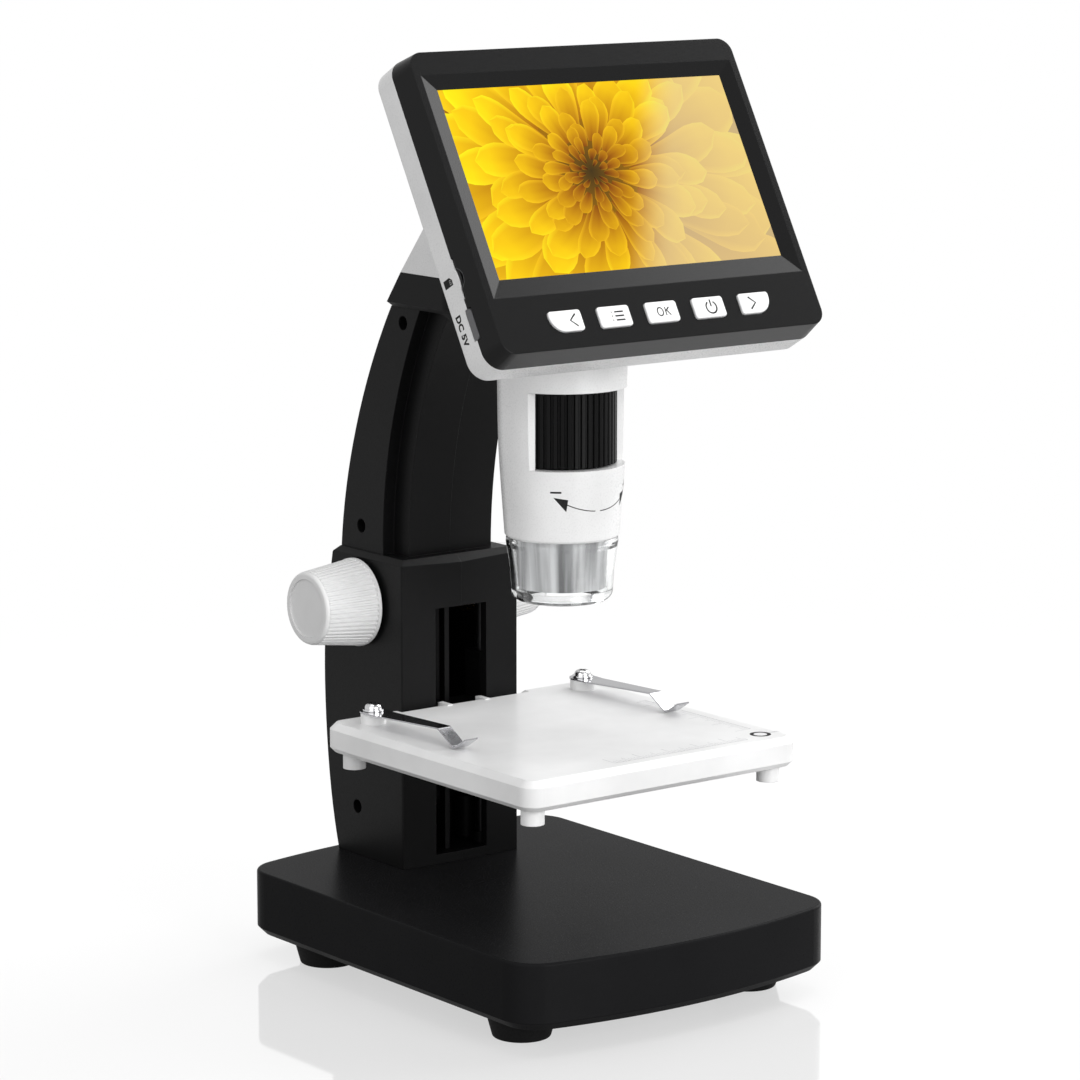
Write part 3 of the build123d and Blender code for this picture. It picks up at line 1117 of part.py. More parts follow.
with BuildPart() as barrel_sleeve:
    with BuildSketch(Plane.XZ.offset(-BARREL_Y)):
        with BuildLine():
            Line((0, SLEEVE_BOTTOM_Z), (SLEEVE[-1][0] - 0.5, SLEEVE_BOTTOM_Z))
            Line((SLEEVE[-1][0] - 0.5, SLEEVE_BOTTOM_Z), (SLEEVE[-1][0] - 0.1, SLEEVE_BOTTOM_Z + 0.5))
            Line((SLEEVE[-1][0] - 0.1, SLEEVE_BOTTOM_Z + 0.5), SLEEVE[-1])
            Spline(*reversed(SLEEVE))
            Line(SLEEVE[0], (SLEEVE_TOP_R, COLLAR_TOP_Z))
            Line((SLEEVE_TOP_R, COLLAR_TOP_Z), (0, COLLAR_TOP_Z))
            Line((0, COLLAR_TOP_Z), (0, SLEEVE_BOTTOM_Z))
        make_face()
    revolve(axis=Axis((0, BARREL_Y, 0), (0, 0, 1)))
    with BuildSketch(Plane.XY.offset(SLEEVE_BOTTOM_Z)):
        with Locations((0, BARREL_Y)):
            Circle(SLEEVE_BORE)
    extrude(amount=CEILING_Z - SLEEVE_BOTTOM_Z, mode=Mode.SUBTRACT)
    # Wider seat for the light cup's plug.
    with BuildSketch(Plane.XY.offset(SLEEVE_BOTTOM_Z)):
        with Locations((0, BARREL_Y)):
            Circle(PLUG_R + SLIDE_FIT)
    extrude(amount=CUP_PLUG_Z + SLIDE_FIT - SLEEVE_BOTTOM_Z, mode=Mode.SUBTRACT)
    with BuildSketch(Plane.XY.offset(WINDOW_BOTTOM_Z)):
        with Locations((0, BARREL_Y)):
            Circle(SLEEVE_WHEEL_BORE)
    extrude(amount=WINDOW_TOP_Z - WINDOW_BOTTOM_Z, mode=Mode.SUBTRACT)
    with BuildSketch(Plane.XY.offset(WINDOW_BOTTOM_Z)):
        with Locations((0, WINDOW_Y - 20.0)):
            Rectangle(60.0, 40.0)
    extrude(amount=WINDOW_TOP_Z - WINDOW_BOTTOM_Z, mode=Mode.SUBTRACT)
    with BuildSketch(Plane.XY.offset(CEILING_Z)):
        with Locations((0, BARREL_Y)):
            Circle(7.0)
    extrude(amount=COLLAR_TOP_Z - CEILING_Z, mode=Mode.SUBTRACT)

WHEEL_BORE = WHEEL_R - 2.0
PIN_TIP_R = CORE_R + 1.6

with BuildPart() as barrel_core:
    with BuildSketch(Plane.XY.offset(CORE_BOTTOM_Z)):
        with Locations((0, BARREL_Y)):
            Circle(CORE_R)
            Circle(CORE_IN_R, mode=Mode.SUBTRACT)
    extrude(amount=CEILING_Z - CORE_BOTTOM_Z)
    # Two collars that the focus wheel turns on.
    for bottom in (WHEEL_BOTTOM_Z, WHEEL_TOP_Z - 3.0):
        with BuildSketch(Plane.XY.offset(bottom)):
            with Locations((0, BARREL_Y)):
                Circle(WHEEL_BORE - RUN_FIT)
                Circle(CORE_R - 0.5, mode=Mode.SUBTRACT)
        extrude(amount=3.0)
    # Straight slots that keep the lens cell from turning.
    with BuildSketch(Plane.XZ.offset(-BARREL_Y)):
        with Locations((0, WHEEL_MID_Z)):
            Rectangle(2.4, 2 * CELL_TRAVEL + 3.2)
    extrude(amount=CORE_R + 2, both=True, mode=Mode.SUBTRACT)

with BuildPart() as focus_wheel:
    with BuildSketch(Plane(origin=(0, BARREL_Y, WHEEL_BOTTOM_Z), x_dir=(1, 0, 0), z_dir=(0, 0, 1))):
        Polygon(*gear_ring(WHEEL_R, 0.55, WHEEL_RIBS, 0.5, 0.78), align=None)
        Circle(WHEEL_BORE, mode=Mode.SUBTRACT)
    extrude(amount=WHEEL_TOP_Z - WHEEL_BOTTOM_Z)

CELL_BOTTOM_Z = CUP_BOTTOM_Z + CELL_TRAVEL + 2.6
CELL_TOP_Z = WHEEL_MID_Z + 4.0
LENS_R = CELL_R - 1.4

with BuildPart() as lens_cell:
    with BuildSketch(Plane.XY.offset(CELL_BOTTOM_Z)):
        with Locations((0, BARREL_Y)):
            Circle(CELL_R)
    extrude(amount=CELL_TOP_Z - CELL_BOTTOM_Z)
    chamfer(lens_cell.edges().group_by(Axis.Z)[0], 0.8)
    with BuildSketch(Plane.XY.offset(CELL_BOTTOM_Z)):
        with Locations((0, BARREL_Y)):
            Circle(LENS_R - 0.9)
    extrude(amount=CELL_TOP_Z - CELL_BOTTOM_Z, mode=Mode.SUBTRACT)
    with BuildSketch(Plane.XY.offset(CELL_BOTTOM_Z + 1.2)):
        with Locations((0, BARREL_Y)):
            Circle(LENS_R)
    extrude(amount=CELL_TOP_Z - CELL_BOTTOM_Z, mode=Mode.SUBTRACT)
    with BuildSketch(Plane.XZ.offset(-BARREL_Y)):
        with Locations((0, WHEEL_MID_Z)):
            Circle(1.1)
    extrude(amount=PIN_TIP_R, both=True)
    with BuildSketch(Plane.XY.offset(CELL_BOTTOM_Z + 1.2)):
        with Locations((0, BARREL_Y)):
            Circle(LENS_R)
    extrude(amount=CELL_TOP_Z - CELL_BOTTOM_Z, mode=Mode.SUBTRACT)

LENS_BULGE = 1.6
LENS_LOW_Z = CELL_BOTTOM_Z + 1.2
LENS_HIGH_Z = LENS_LOW_Z + 1.8
LENS_BULGE_LOW = 0.6


def dome(radius, rise):
    """Drop of a domed face below its crown, at half of its radius."""
    ball = (radius ** 2 + rise ** 2) / (2 * rise)
    return ball - sqrt(ball ** 2 - radius ** 2 / 4)


with BuildPart() as lens:
    with BuildSketch(Plane.XZ.offset(-BARREL_Y)):
        with BuildLine():
            Line((0, LENS_LOW_Z - LENS_BULGE_LOW), (0, LENS_HIGH_Z + LENS_BULGE))
            ThreePointArc((0, LENS_HIGH_Z + LENS_BULGE),
                          (LENS_R / 2, LENS_HIGH_Z + LENS_BULGE - dome(LENS_R, LENS_BULGE)),
                          (LENS_R, LENS_HIGH_Z))
            Polyline((LENS_R, LENS_HIGH_Z), (LENS_R, LENS_LOW_Z), (LENS_R - 0.9, LENS_LOW_Z))
            ThreePointArc((LENS_R - 0.9, LENS_LOW_Z),
                          (LENS_R / 2 - 0.45, LENS_LOW_Z - LENS_BULGE_LOW + dome(LENS_R - 0.9, LENS_BULGE_LOW)),
                          (0, LENS_LOW_Z - LENS_BULGE_LOW))
        make_face()
    revolve(axis=Axis((0, BARREL_Y, 0), (0, 0, 1)))

with BuildPart() as sensor_board:
    with BuildSketch(Plane.XY.offset(WINDOW_TOP_Z + 9.0)):
        with Locations((0, BARREL_Y)):
            Circle(CORE_IN_R)
    extrude(amount=1.2)
    with BuildSketch(Plane.XY.offset(WINDOW_TOP_Z + 9.0)):
        with Locations((0, BARREL_Y)):
            Rectangle(7.0, 6.0)
    extrude(amount=-1.2)

SHADE_TOP_R = PLUG_R - PLUG_WALL - PART_GAP

with BuildPart() as led_board:
    with BuildSketch(Plane.XY.offset(CORE_BOTTOM_Z - 1.2)):
        with Locations((0, BARREL_Y)):
            Circle(SHADE_TOP_R)
            Circle(CELL_R + 0.6, mode=Mode.SUBTRACT)
    extrude(amount=1.2)

with BuildPart() as leds:
    with BuildSketch(Plane.XY.offset(CORE_BOTTOM_Z - 1.2)):
        with Locations((0, BARREL_Y)):
            with PolarLocations(LED_RING_R, 8, start_angle=22.5):
                Circle(0.85)
    extrude(amount=-2.2)
    fillet(leds.edges().group_by(Axis.Z)[0], 0.6)

# Frosted shade under the lamps, inside the clear cup.
SHADE_BOTTOM_R = CUP[2][0] - CUP_WALL - 0.7
SHADE_BOTTOM_Z = CUP[2][1] + 1.2
SHADE_WALL = 0.8

with BuildPart() as light_shade:
    with BuildSketch(Plane.XZ.offset(-BARREL_Y)):
        Polygon((SHADE_TOP_R, CORE_BOTTOM_Z - 1.2), (SHADE_BOTTOM_R, SHADE_BOTTOM_Z),
                (SHADE_BOTTOM_R - SHADE_WALL, SHADE_BOTTOM_Z), (SHADE_TOP_R - SHADE_WALL, CORE_BOTTOM_Z - 1.2), align=None)
    revolve(axis=Axis((0, BARREL_Y, 0), (0, 0, 1)))

with BuildPart() as light_cup:
    with BuildSketch(Plane.XZ.offset(-BARREL_Y)):
        with BuildLine():
            Polyline((PLUG_R - PLUG_WALL, CUP_PLUG_Z), (PLUG_R, CUP_PLUG_Z),
                     (PLUG_R, SLEEVE_BOTTOM_Z - SLIDE_FIT), (CUP[0][0] - 0.1, SLEEVE_BOTTOM_Z - SLIDE_FIT),
                     CUP[0], CUP[1], CUP[2])
            TangentArc(CUP[2], (CUP_BOTTOM_R, CUP_BOTTOM_Z), tangent=(CUP[2][0] - CUP[1][0], CUP[2][1] - CUP[1][1]))
            Polyline((CUP_BOTTOM_R, CUP_BOTTOM_Z), (CUP_BOTTOM_R - 1.2, CUP_BOTTOM_Z),
                     (CUP_BOTTOM_R - 1.0, CUP_BOTTOM_Z + 1.6), (CUP[2][0] - CUP_WALL, CUP[2][1] + 0.6),
                     (CUP[1][0] - CUP_WALL, CUP[1][1]), (CUP[0][0] - CUP_WALL - 0.4, CUP[0][1] - 1.2),
                     (PLUG_R - PLUG_WALL, CUP[0][1]), (PLUG_R - PLUG_WALL, CUP_PLUG_Z))
        make_face()
    revolve(axis=Axis((0, BARREL_Y, 0), (0, 0, 1)))

# ================= write every piece =================

PIECES = {
    "base_housing": base_housing,
    "base_bottom_cover": base_bottom_cover,
    "base_weight": base_weight,
    "base_feet": base_feet,
    "base_screws": base_screws,
    "column_foot_screws": column_foot_screws,
    "column_right_shell": column_right_shell,
    "column_left_shell": column_left_shell,
    "column_screws": column_screws,
    "collar": collar,
    "guide_rods": guide_rods,
    "shaft_bushes": shaft_bushes,
    "drive_shaft": drive_shaft,
    "drive_pinion": drive_pinion,
    "knob_right": knob_right,
    "knob_left": knob_left,
    "stage_carriage": stage_carriage,
    "stage_rack": stage_rack,
    "stage_plate": stage_plate,
    "stage_screws": stage_screws,
    "clip_left": clip_left,
    "clip_right": clip_right,
    "clip_screws": clip_screws,
    "rear_case": rear_case,
    "front_bezel": front_bezel,
    "cover_glass": cover_glass,
    "lcd_panel": lcd_panel,
    "main_board": main_board,
    "board_chips": board_chips,
    "battery": battery,
    "card_socket": card_socket,
    "port_socket": port_socket,
    "port_cover": port_cover,
    "key_board": key_board,
    "key_switches": key_switches,
    "case_screws": case_screws,
    "barrel_sleeve": barrel_sleeve,
    "barrel_core": barrel_core,
    "focus_wheel": focus_wheel,
    "lens_cell": lens_cell,
    "lens": lens,
    "sensor_board": sensor_board,
    "led_board": led_board,
    "leds": leds,
    "light_shade": light_shade,
    "light_cup": light_cup,
}
PIECES.update(zip(KEY_NAMES, KEYS))

for name, piece in PIECES.items():
    piece.part.label = name
    export_step(piece.part, f"parts/{name}.step")
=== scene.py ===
"""LCD digital microscope: finish, printed marks and small detail over the packed model."""
import math
import random

import bmesh
import bpy
from bpy.props import FloatProperty, FloatVectorProperty, IntProperty, PointerProperty
from mathutils import Matrix, Vector
from mathutils.bvhtree import BVHTree


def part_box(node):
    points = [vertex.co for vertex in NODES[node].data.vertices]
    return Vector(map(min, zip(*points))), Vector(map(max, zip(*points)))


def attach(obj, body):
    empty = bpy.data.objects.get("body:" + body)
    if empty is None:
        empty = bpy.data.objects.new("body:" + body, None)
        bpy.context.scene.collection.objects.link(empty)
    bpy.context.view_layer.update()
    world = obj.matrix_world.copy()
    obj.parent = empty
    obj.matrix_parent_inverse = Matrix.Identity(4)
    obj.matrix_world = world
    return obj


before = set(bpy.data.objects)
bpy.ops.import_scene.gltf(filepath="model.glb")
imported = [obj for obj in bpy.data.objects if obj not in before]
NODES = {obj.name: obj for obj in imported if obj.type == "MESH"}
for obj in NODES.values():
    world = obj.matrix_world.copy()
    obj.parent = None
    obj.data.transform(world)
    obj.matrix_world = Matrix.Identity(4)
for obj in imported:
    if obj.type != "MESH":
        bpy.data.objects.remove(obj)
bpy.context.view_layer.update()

bl_info = {
    "name": "LCD digital microscope",
    "version": (1, 0, 0),
    "blender": (4, 5, 0),
    "location": "View3D > Sidebar > Microscope",
    "description": "Finishes, printed marks and fine detail of a benchtop digital microscope",
    "category": "Object",
}

MM = 0.001


# ---------------------------------------------------------------- sizes and colours

class HeadSettings(bpy.types.PropertyGroup):
    """Place of the screen and the keys"""
    screen_y: FloatProperty(name="Screen Y", description="Middle of the screen, front to back",
                            default=-0.03429, unit="LENGTH")
    screen_z: FloatProperty(name="Screen height", description="Middle of the screen above the table",
                            default=0.2257, unit="LENGTH")
    tilt: FloatProperty(name="Tilt", description="Lean of the screen from upright",
                        default=math.radians(29.49), subtype="ANGLE")
    screen_half_u: FloatProperty(name="Half width", description="Half of the lit area's width",
                                 default=0.04752, unit="LENGTH")
    screen_half_v: FloatProperty(name="Half height", description="Half of the lit area's height",
                                 default=0.02695, unit="LENGTH")
    key_pitch: FloatProperty(name="Key pitch", description="Distance between two keys",
                             default=0.0159, unit="LENGTH")
    key_v: FloatProperty(name="Key row", description="Key row, up the slope from the screen's middle",
                         default=-0.0403, unit="LENGTH")
    key_top: FloatProperty(name="Key top", description="Height of the key caps over the screen's plane",
                           default=0.00165, unit="LENGTH")


class PictureSettings(bpy.types.PropertyGroup):
    """Flower shown on the screen"""
    petal: FloatVectorProperty(name="Petal", description="Colour of a lit petal", subtype="COLOR",
                               size=3, min=0, max=1, default=(0.97, 0.60, 0.002))
    petal_deep: FloatVectorProperty(name="Petal base", description="Colour at a petal's foot",
                                    subtype="COLOR", size=3, min=0, max=1, default=(0.60, 0.26, 0.0))
    heart: FloatVectorProperty(name="Heart", description="Colour of the flower's dark middle",
                               subtype="COLOR", size=3, min=0, max=1, default=(0.05, 0.03, 0.005))
    glow: FloatProperty(name="Glow", description="Brightness of the picture", default=1.0, min=0, max=4)
    petals: IntProperty(name="Petals", description="Number of petals", default=168, min=20, max=400)
    centre: FloatVectorProperty(name="Centre", description="Middle of the flower on the screen", size=2,
                                subtype="XYZ", default=(-0.0065, 0.0012))
    # The sheen is a painted reflection, mixed into the picture's glow.
    sheen: FloatVectorProperty(name="Sheen", description="Pale reflection over the right half",
                               subtype="COLOR", size=3, min=0, max=1, default=(0.80, 0.66, 0.36))
    sheen_cover: FloatProperty(name="Sheen cover", description="How much of the picture the sheen hides",
                               default=0.60, min=0, max=1)
    sheen_edge: FloatProperty(name="Sheen edge", description="Edge of the sheen, right of the middle",
                              default=0.0125, unit="LENGTH")
    sheen_lean: FloatProperty(name="Sheen lean", description="Shift of the edge per length up the slope",
                              default=0.44)


class MarkSettings(bpy.types.PropertyGroup):
    """Printed marks"""
    line: FloatProperty(name="Line", description="Width of a line of the key signs", default=0.0005,
                        unit="LENGTH")
    side_u: FloatProperty(name="Side", description="Left side of the head", default=-0.0553,
                          unit="LENGTH")
    side_lean: FloatProperty(name="Side lean", description="Draft of the bezel's side",
                             default=math.radians(9.03), subtype="ANGLE")
    card_sign: FloatVectorProperty(name="Card sign", description="Up the slope and out from the screen",
                                   size=2, subtype="XYZ", default=(-0.0225, -0.01065))
    notch: FloatVectorProperty(name="Thumb notch", description="Up the slope and out from the screen",
                               size=2, subtype="XYZ", default=(-0.0232, -0.0065))
    notch_radius: FloatProperty(name="Notch radius", description="Radius of the card slot's thumb notch",
                                default=0.0032, unit="LENGTH")
    notch_middle: FloatProperty(name="Notch middle", description="Middle of the notch's arc above the seam",
                                default=-0.00088, unit="LENGTH")
    rating: FloatVectorProperty(name="Rating", description="Up the slope and out from the screen",
                                size=2, subtype="XYZ", default=(-0.0356, -0.0113))
    rating_size: FloatProperty(name="Rating size", description="Height of the rating's letters",
                               default=0.00285, unit="LENGTH")
    stage_top: FloatProperty(name="Stage top", description="Top of the stage above the table",
                             default=0.0719, unit="LENGTH")
    scale_start: FloatVectorProperty(name="Scale start", description="Left end of the front scale",
                                     size=2, subtype="XYZ", default=(-0.0140, -0.0537))
    scale_length: FloatProperty(name="Scale length", description="Length of each scale",
                                default=0.046, unit="LENGTH")
    side_scale: FloatVectorProperty(name="Side scale start", description="Front end of the right scale",
                                    size=2, subtype="XYZ", default=(0.0412, -0.0440))
    ring: FloatVectorProperty(name="Ring", description="Middle of the ring mark", size=2, subtype="XYZ",
                              default=(0.0390, -0.0508))
    ring_radius: FloatProperty(name="Ring radius", description="Middle radius of the ring mark",
                               default=0.0024, unit="LENGTH")
    unit_size: FloatProperty(name="Unit size", description="Height of the letters beside the ring",
                             default=0.0022, unit="LENGTH")
    arrow_half_turn: FloatProperty(name="Arrow", description="Angle from the middle to a tip of the arrow",
                                   default=math.radians(46.0), subtype="ANGLE")
    arrow_radius: FloatProperty(name="Arrow radius", description="Radius of the sleeve at the arrow",
                                default=0.0165, unit="LENGTH")
    arrow_z: FloatProperty(name="Arrow height", description="Lowest point of the arrow",
                           default=0.1349, unit="LENGTH")
    arrow_rise: FloatProperty(name="Arrow rise", description="Rise of its tips over the lowest point",
                              default=0.0041, unit="LENGTH")


class FinishSettings(bpy.types.PropertyGroup):
    """Colours of the moulded pieces"""
    black: FloatVectorProperty(name="Black plastic", description="Base and column", subtype="COLOR",
                               size=3, min=0, max=1, default=(0.0036, 0.0036, 0.0038))
    white: FloatVectorProperty(name="White plastic", description="Head, barrel and stage",
                               subtype="COLOR", size=3, min=0, max=1, default=(0.80, 0.80, 0.80))
    ink: FloatVectorProperty(name="Ink", description="Printed marks", subtype="COLOR",
                             size=3, min=0, max=1, default=(0.012, 0.012, 0.012))


class StudioSettings(bpy.types.PropertyGroup):
    """Camera and backdrop"""
    camera_place: FloatVectorProperty(name="Camera", description="Where the camera stands", size=3,
                                      subtype="TRANSLATION", default=(-0.69086, -0.9006, 0.3264))
    azimuth: FloatProperty(name="Azimuth", description="Turn of the camera about the object",
                           default=math.radians(-37.58), subtype="ANGLE")
    elevation: FloatProperty(name="Elevation", description="Camera's look down from level",
                             default=math.radians(10.17), subtype="ANGLE")
    lens: FloatProperty(name="Lens", description="Focal length on a 36 mm wide sensor, in mm",
                        default=139.92)
    floor: FloatVectorProperty(name="Floor", description="Colour of the floor", subtype="COLOR",
                               size=3, min=0, max=1, default=(0.28, 0.28, 0.28))
    floor_size: FloatProperty(name="Floor size", description="Length of the floor's side",
                              default=2.2, unit="LENGTH")
    lift: FloatProperty(name="Floor light", description="Light that the camera sees added to the floor",
                        default=0.585)
    fade: FloatVectorProperty(name="Fade", description="Where the floor begins and ends to turn white",
                              size=2, default=(0.20, 0.55))
    ambient: FloatProperty(name="Ambient", description="Light from all round on the object", default=0.42)
    mirrored: FloatProperty(name="Mirrored white", description="Share of the white that gloss mirrors",
                            default=0.45, min=0, max=1)


GROUPS = (
    ("microscope_head", HeadSettings),
    ("microscope_picture", PictureSettings),
    ("microscope_marks", MarkSettings),
    ("microscope_finish", FinishSettings),
    ("microscope_studio", StudioSettings),
)


# ---------------------------------------------------------------- shared helpers

INK_HEIGHT = 0.00002  # thickness of the print


def head_matrix(settings):
    """Turns (u, v, d) of the screen's plane, in metres, into the object's frame."""
    s, c = math.sin(settings.tilt), math.cos(settings.tilt)
    across = Vector((1, 0, 0))
    up = Vector((0, s, c))
    out = Vector((0, -c, s))
    turned = Matrix((across, up, out)).transposed().to_4x4()
    turned.translation = Vector((0, settings.screen_y, settings.screen_z))
    return turned


def settle(name, bm, material, body, place=None):
    """Makes an object of a bmesh, with its place in its mesh, and lets it ride on a body."""
    if place is not None:
        bmesh.ops.transform(bm, matrix=place, verts=bm.verts)
    bmesh.ops.recalc_face_normals(bm, faces=bm.faces)
    mesh = bpy.data.meshes.new(name)
    bm.to_mesh(mesh)
    bm.free()
    mesh.materials.append(material)
    piece = bpy.data.objects.new(name, mesh)
    bpy.context.scene.collection.objects.link(piece)
    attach(piece, body)
    return piece


def dress(node, material):
    """Gives a packed node its finish."""
    slots = NODES[node].data.materials
    slots.clear()
    slots.append(material)


def stroke(bm, paths, width, closed=False):
    """Adds printed lines of the given width along paths of (x, y) points."""
    curve = bpy.data.curves.new("stroke", "CURVE")
    curve.dimensions = "3D"
    curve.bevel_depth = width / 2
    curve.bevel_resolution = 1
    curve.use_fill_caps = True
    for path in paths:
        spline = curve.splines.new("POLY")
        spline.points.add(len(path) - 1)
        for point, place in zip(spline.points, path):
            point.co = (place[0], place[1], 0, 1)
        spline.use_cyclic_u = closed
    add_curve(bm, curve, Matrix.Scale(INK_HEIGHT / width, 4, (0, 0, 1)))


def lettering(bm, text, size, place, spacing=1.0, weight=0.0):
    """Adds a line of plain text, centred on place."""
    curve = bpy.data.curves.new("text", "FONT")
    curve.body = text
    curve.size = size
    curve.align_x = "CENTER"
    curve.align_y = "CENTER"
    curve.space_character = spacing
    curve.extrude = INK_HEIGHT / 2
    curve.offset = weight
    curve.resolution_u = 4
    add_curve(bm, curve, Matrix.Translation((place[0], place[1], 0)))


def add_curve(bm, curve, place):
    """Turns a curve into a mesh, moves it to its place and adds it."""
    holder = bpy.data.objects.new("holder", curve)
    mesh = bpy.data.meshes.new_from_object(holder)
    mesh.transform(place)
    bm.from_mesh(mesh)
    bpy.data.meshes.remove(mesh)
    bpy.data.objects.remove(holder)
    bpy.data.curves.remove(curve)


def solid_shape(bm, outline):
    """Adds a printed patch with the given outline."""
    face = bm.faces.new([bm.verts.new((x, y, -INK_HEIGHT / 2)) for x, y in outline])
    raised = bmesh.ops.extrude_face_region(bm, geom=[face])["geom"]
    top = [v for v in raised if isinstance(v, bmesh.types.BMVert)]
    bmesh.ops.translate(bm, vec=(0, 0, INK_HEIGHT), verts=top)


def arc(centre, radius, start, end, steps=24):
    """Points along an arc from one angle to another."""
    return [(centre[0] + radius * math.cos(start + (end - start) * k / steps),
             centre[1] + radius * math.sin(start + (end - start) * k / steps)) for k in range(steps + 1)]


def oval(middle, half_width, half_height, points=20):
    """Points round an oval whose middle lies that far to the right of the origin."""
    turns = [k * math.tau / points for k in range(points)]
    return [(middle + half_width * math.cos(turn), half_height * math.sin(turn)) for turn in turns]


def surface(node):
    """Search tree of a packed node's faces."""
    mesh = NODES[node].data
    return BVHTree.FromPolygons([v.co for v in mesh.vertices], [tuple(p.vertices) for p in mesh.polygons])


# ---------------------------------------------------------------- finishes

class Finish:
    """A material under construction: its shader and short calls for common nodes."""

    def __init__(self, name):
        self.material = bpy.data.materials.new(name)
        self.material.use_nodes = True
        self.tree = self.material.node_tree
        self.nodes = self.tree.nodes
        self.links = self.tree.links
        self.shader = self.nodes["Principled BSDF"]
        self.place = self.nodes.new("ShaderNodeTexCoord").outputs["Object"]

    def put(self, **values):
        """Sets inputs of the shader, named with an underscore for each space."""
        for socket, value in values.items():
            self.shader.inputs[socket.replace("_", " ")].default_value = value

    def feed(self, socket, source):
        """Links an output to an input of the shader."""
        self.links.new(source, self.shader.inputs[socket])

    def noise(self, scale, detail=2.0, vector=None):
        """Noise over the object, or over places stretched by a mapping."""
        node = self.nodes.new("ShaderNodeTexNoise")
        node.inputs["Scale"].default_value = scale
        node.inputs["Detail"].default_value = detail
        self.links.new(vector or self.place, node.inputs["Vector"])
        return node.outputs["Fac"]

    def stretch(self, scale):
        """Places on the object, scaled along each axis."""
        node = self.nodes.new("ShaderNodeMapping")
        node.inputs["Scale"].default_value = scale
        self.links.new(self.place, node.inputs["Vector"])
        return node.outputs["Vector"]

    def ramp(self, source, low, high, start=0.35, end=0.65, smooth=False):
        """Goes from low to high as the source goes from start to end."""
        node = self.nodes.new("ShaderNodeMapRange")
        if smooth:
            node.interpolation_type = "SMOOTHSTEP"
        node.inputs["From Min"].default_value = start
        node.inputs["From Max"].default_value = end
        node.inputs["To Min"].default_value = low
        node.inputs["To Max"].default_value = high
        self.links.new(source, node.inputs["Value"])
        return node.outputs["Result"]

    def blend(self, source, first, second):
        """Goes from the first colour to the second as the source goes from 0 to 1."""
        node = self.nodes.new("ShaderNodeMix")
        node.data_type = "RGBA"
        node.inputs["A"].default_value = (*first, 1)
        node.inputs["B"].default_value = (*second, 1)
        self.links.new(source, node.inputs["Factor"])
        return node.outputs["Result"]

    def bump(self, source, depth, strength, round_edges=0.0):
        """Relief in the shading, with edges rounded to the given radius."""
        node = self.nodes.new("ShaderNodeBump")
        if round_edges:
            soft = self.nodes.new("ShaderNodeBevel")
            soft.samples = 4
            soft.inputs["Radius"].default_value = round_edges
            self.links.new(soft.outputs["Normal"], node.inputs["Normal"])
        node.inputs["Distance"].default_value = depth
        node.inputs["Strength"].default_value = strength
        self.links.new(source, node.inputs["Height"])
        self.feed("Normal", node.outputs["Normal"])


def scaled(colour, by):
    """A colour made lighter or darker."""
    return tuple(min(1.0, c * by) for c in colour)


FLOW_SCALE = 38.0  # scale of the flow marks in moulded plastic
FLOW_SPREAD = 0.06  # share by which they lighten and darken it
SOFT_EDGE = 0.0003  # radius to which its edges are rounded in the shading
PRINT_SCALE = 900.0  # scale of the unevenness of the ink


def moulded(name, colour, rough, grain, spread=0.06, coat=0.0, level=0.5, relief=0.00003):
    """Injection-moulded plastic: faint flow in the colour, fine spark grain in the gloss."""
    f = Finish(name)
    flow = f.ramp(f.noise(FLOW_SCALE, 3.0), 0, 1)
    f.feed("Base Color", f.blend(flow, scaled(colour, 1 - FLOW_SPREAD), scaled(colour, 1 + FLOW_SPREAD)))
    fine = f.noise(grain)
    f.feed("Roughness", f.ramp(fine, rough - spread, rough + spread))
    f.bump(fine, relief, 0.35, SOFT_EDGE)
    f.put(IOR=1.5, Specular_IOR_Level=level)
    if coat:
        f.put(Coat_Weight=coat, Coat_Roughness=0.12)
    return f.material


def metal(name, colour, rough, brushed=None, grain=900.0):
    """Bare or plated metal, with a drawn grain where brushed gives the stretch of its pattern."""
    f = Finish(name)
    f.put(Base_Color=(*colour, 1), Metallic=1.0)
    lines = f.noise(grain, 4.0, f.stretch(brushed) if brushed else None)
    f.feed("Roughness", f.ramp(lines, rough * 0.8, rough * 1.25))
    f.bump(lines, 0.00001, 0.15)
    return f.material


def clear(name, tint, ior, rough=0.01):
    """Clear plastic or glass, with a faint unevenness in its polish."""
    f = Finish(name)
    f.put(Base_Color=(*tint, 1), Transmission_Weight=1.0, IOR=ior)
    f.feed("Roughness", f.ramp(f.noise(60.0), rough, rough + 0.015))
    return f.material


def fluted_with_painted_streaks(name, dark, light):
    """Frosted plastic with upright flutes in its relief, and painted reflections as dark and light upright
    streaks in its colour.
    """
    f = Finish(name)
    flutes_and_painted_streaks = f.noise(210.0, 3.0, f.stretch((1.0, 1.0, 0.03)))
    # Painted reflections: the colour runs from dark to light in upright streaks that follow the flutes.
    f.feed("Base Color", f.blend(f.ramp(flutes_and_painted_streaks, 0, 1, 0.36, 0.62), dark, light))
    f.feed("Roughness", f.ramp(flutes_and_painted_streaks, 0.20, 0.34))
    f.bump(flutes_and_painted_streaks, 0.0001, 0.4)
    return f.material


def printed(name, thick, thin, rough, level=0.5):
    """Printing ink that covers a little unevenly."""
    f = Finish(name)
    f.feed("Base Color", f.blend(f.ramp(f.noise(PRINT_SCALE), 0, 1), thick, thin))
    f.put(Roughness=rough, Specular_IOR_Level=level)
    return f.material


# The sheen is a painted reflection in the screen's glow.
PAINTED_SHEEN_FADE = (-0.007, 0.009)  # where the sheen begins and where it is full, from its edge


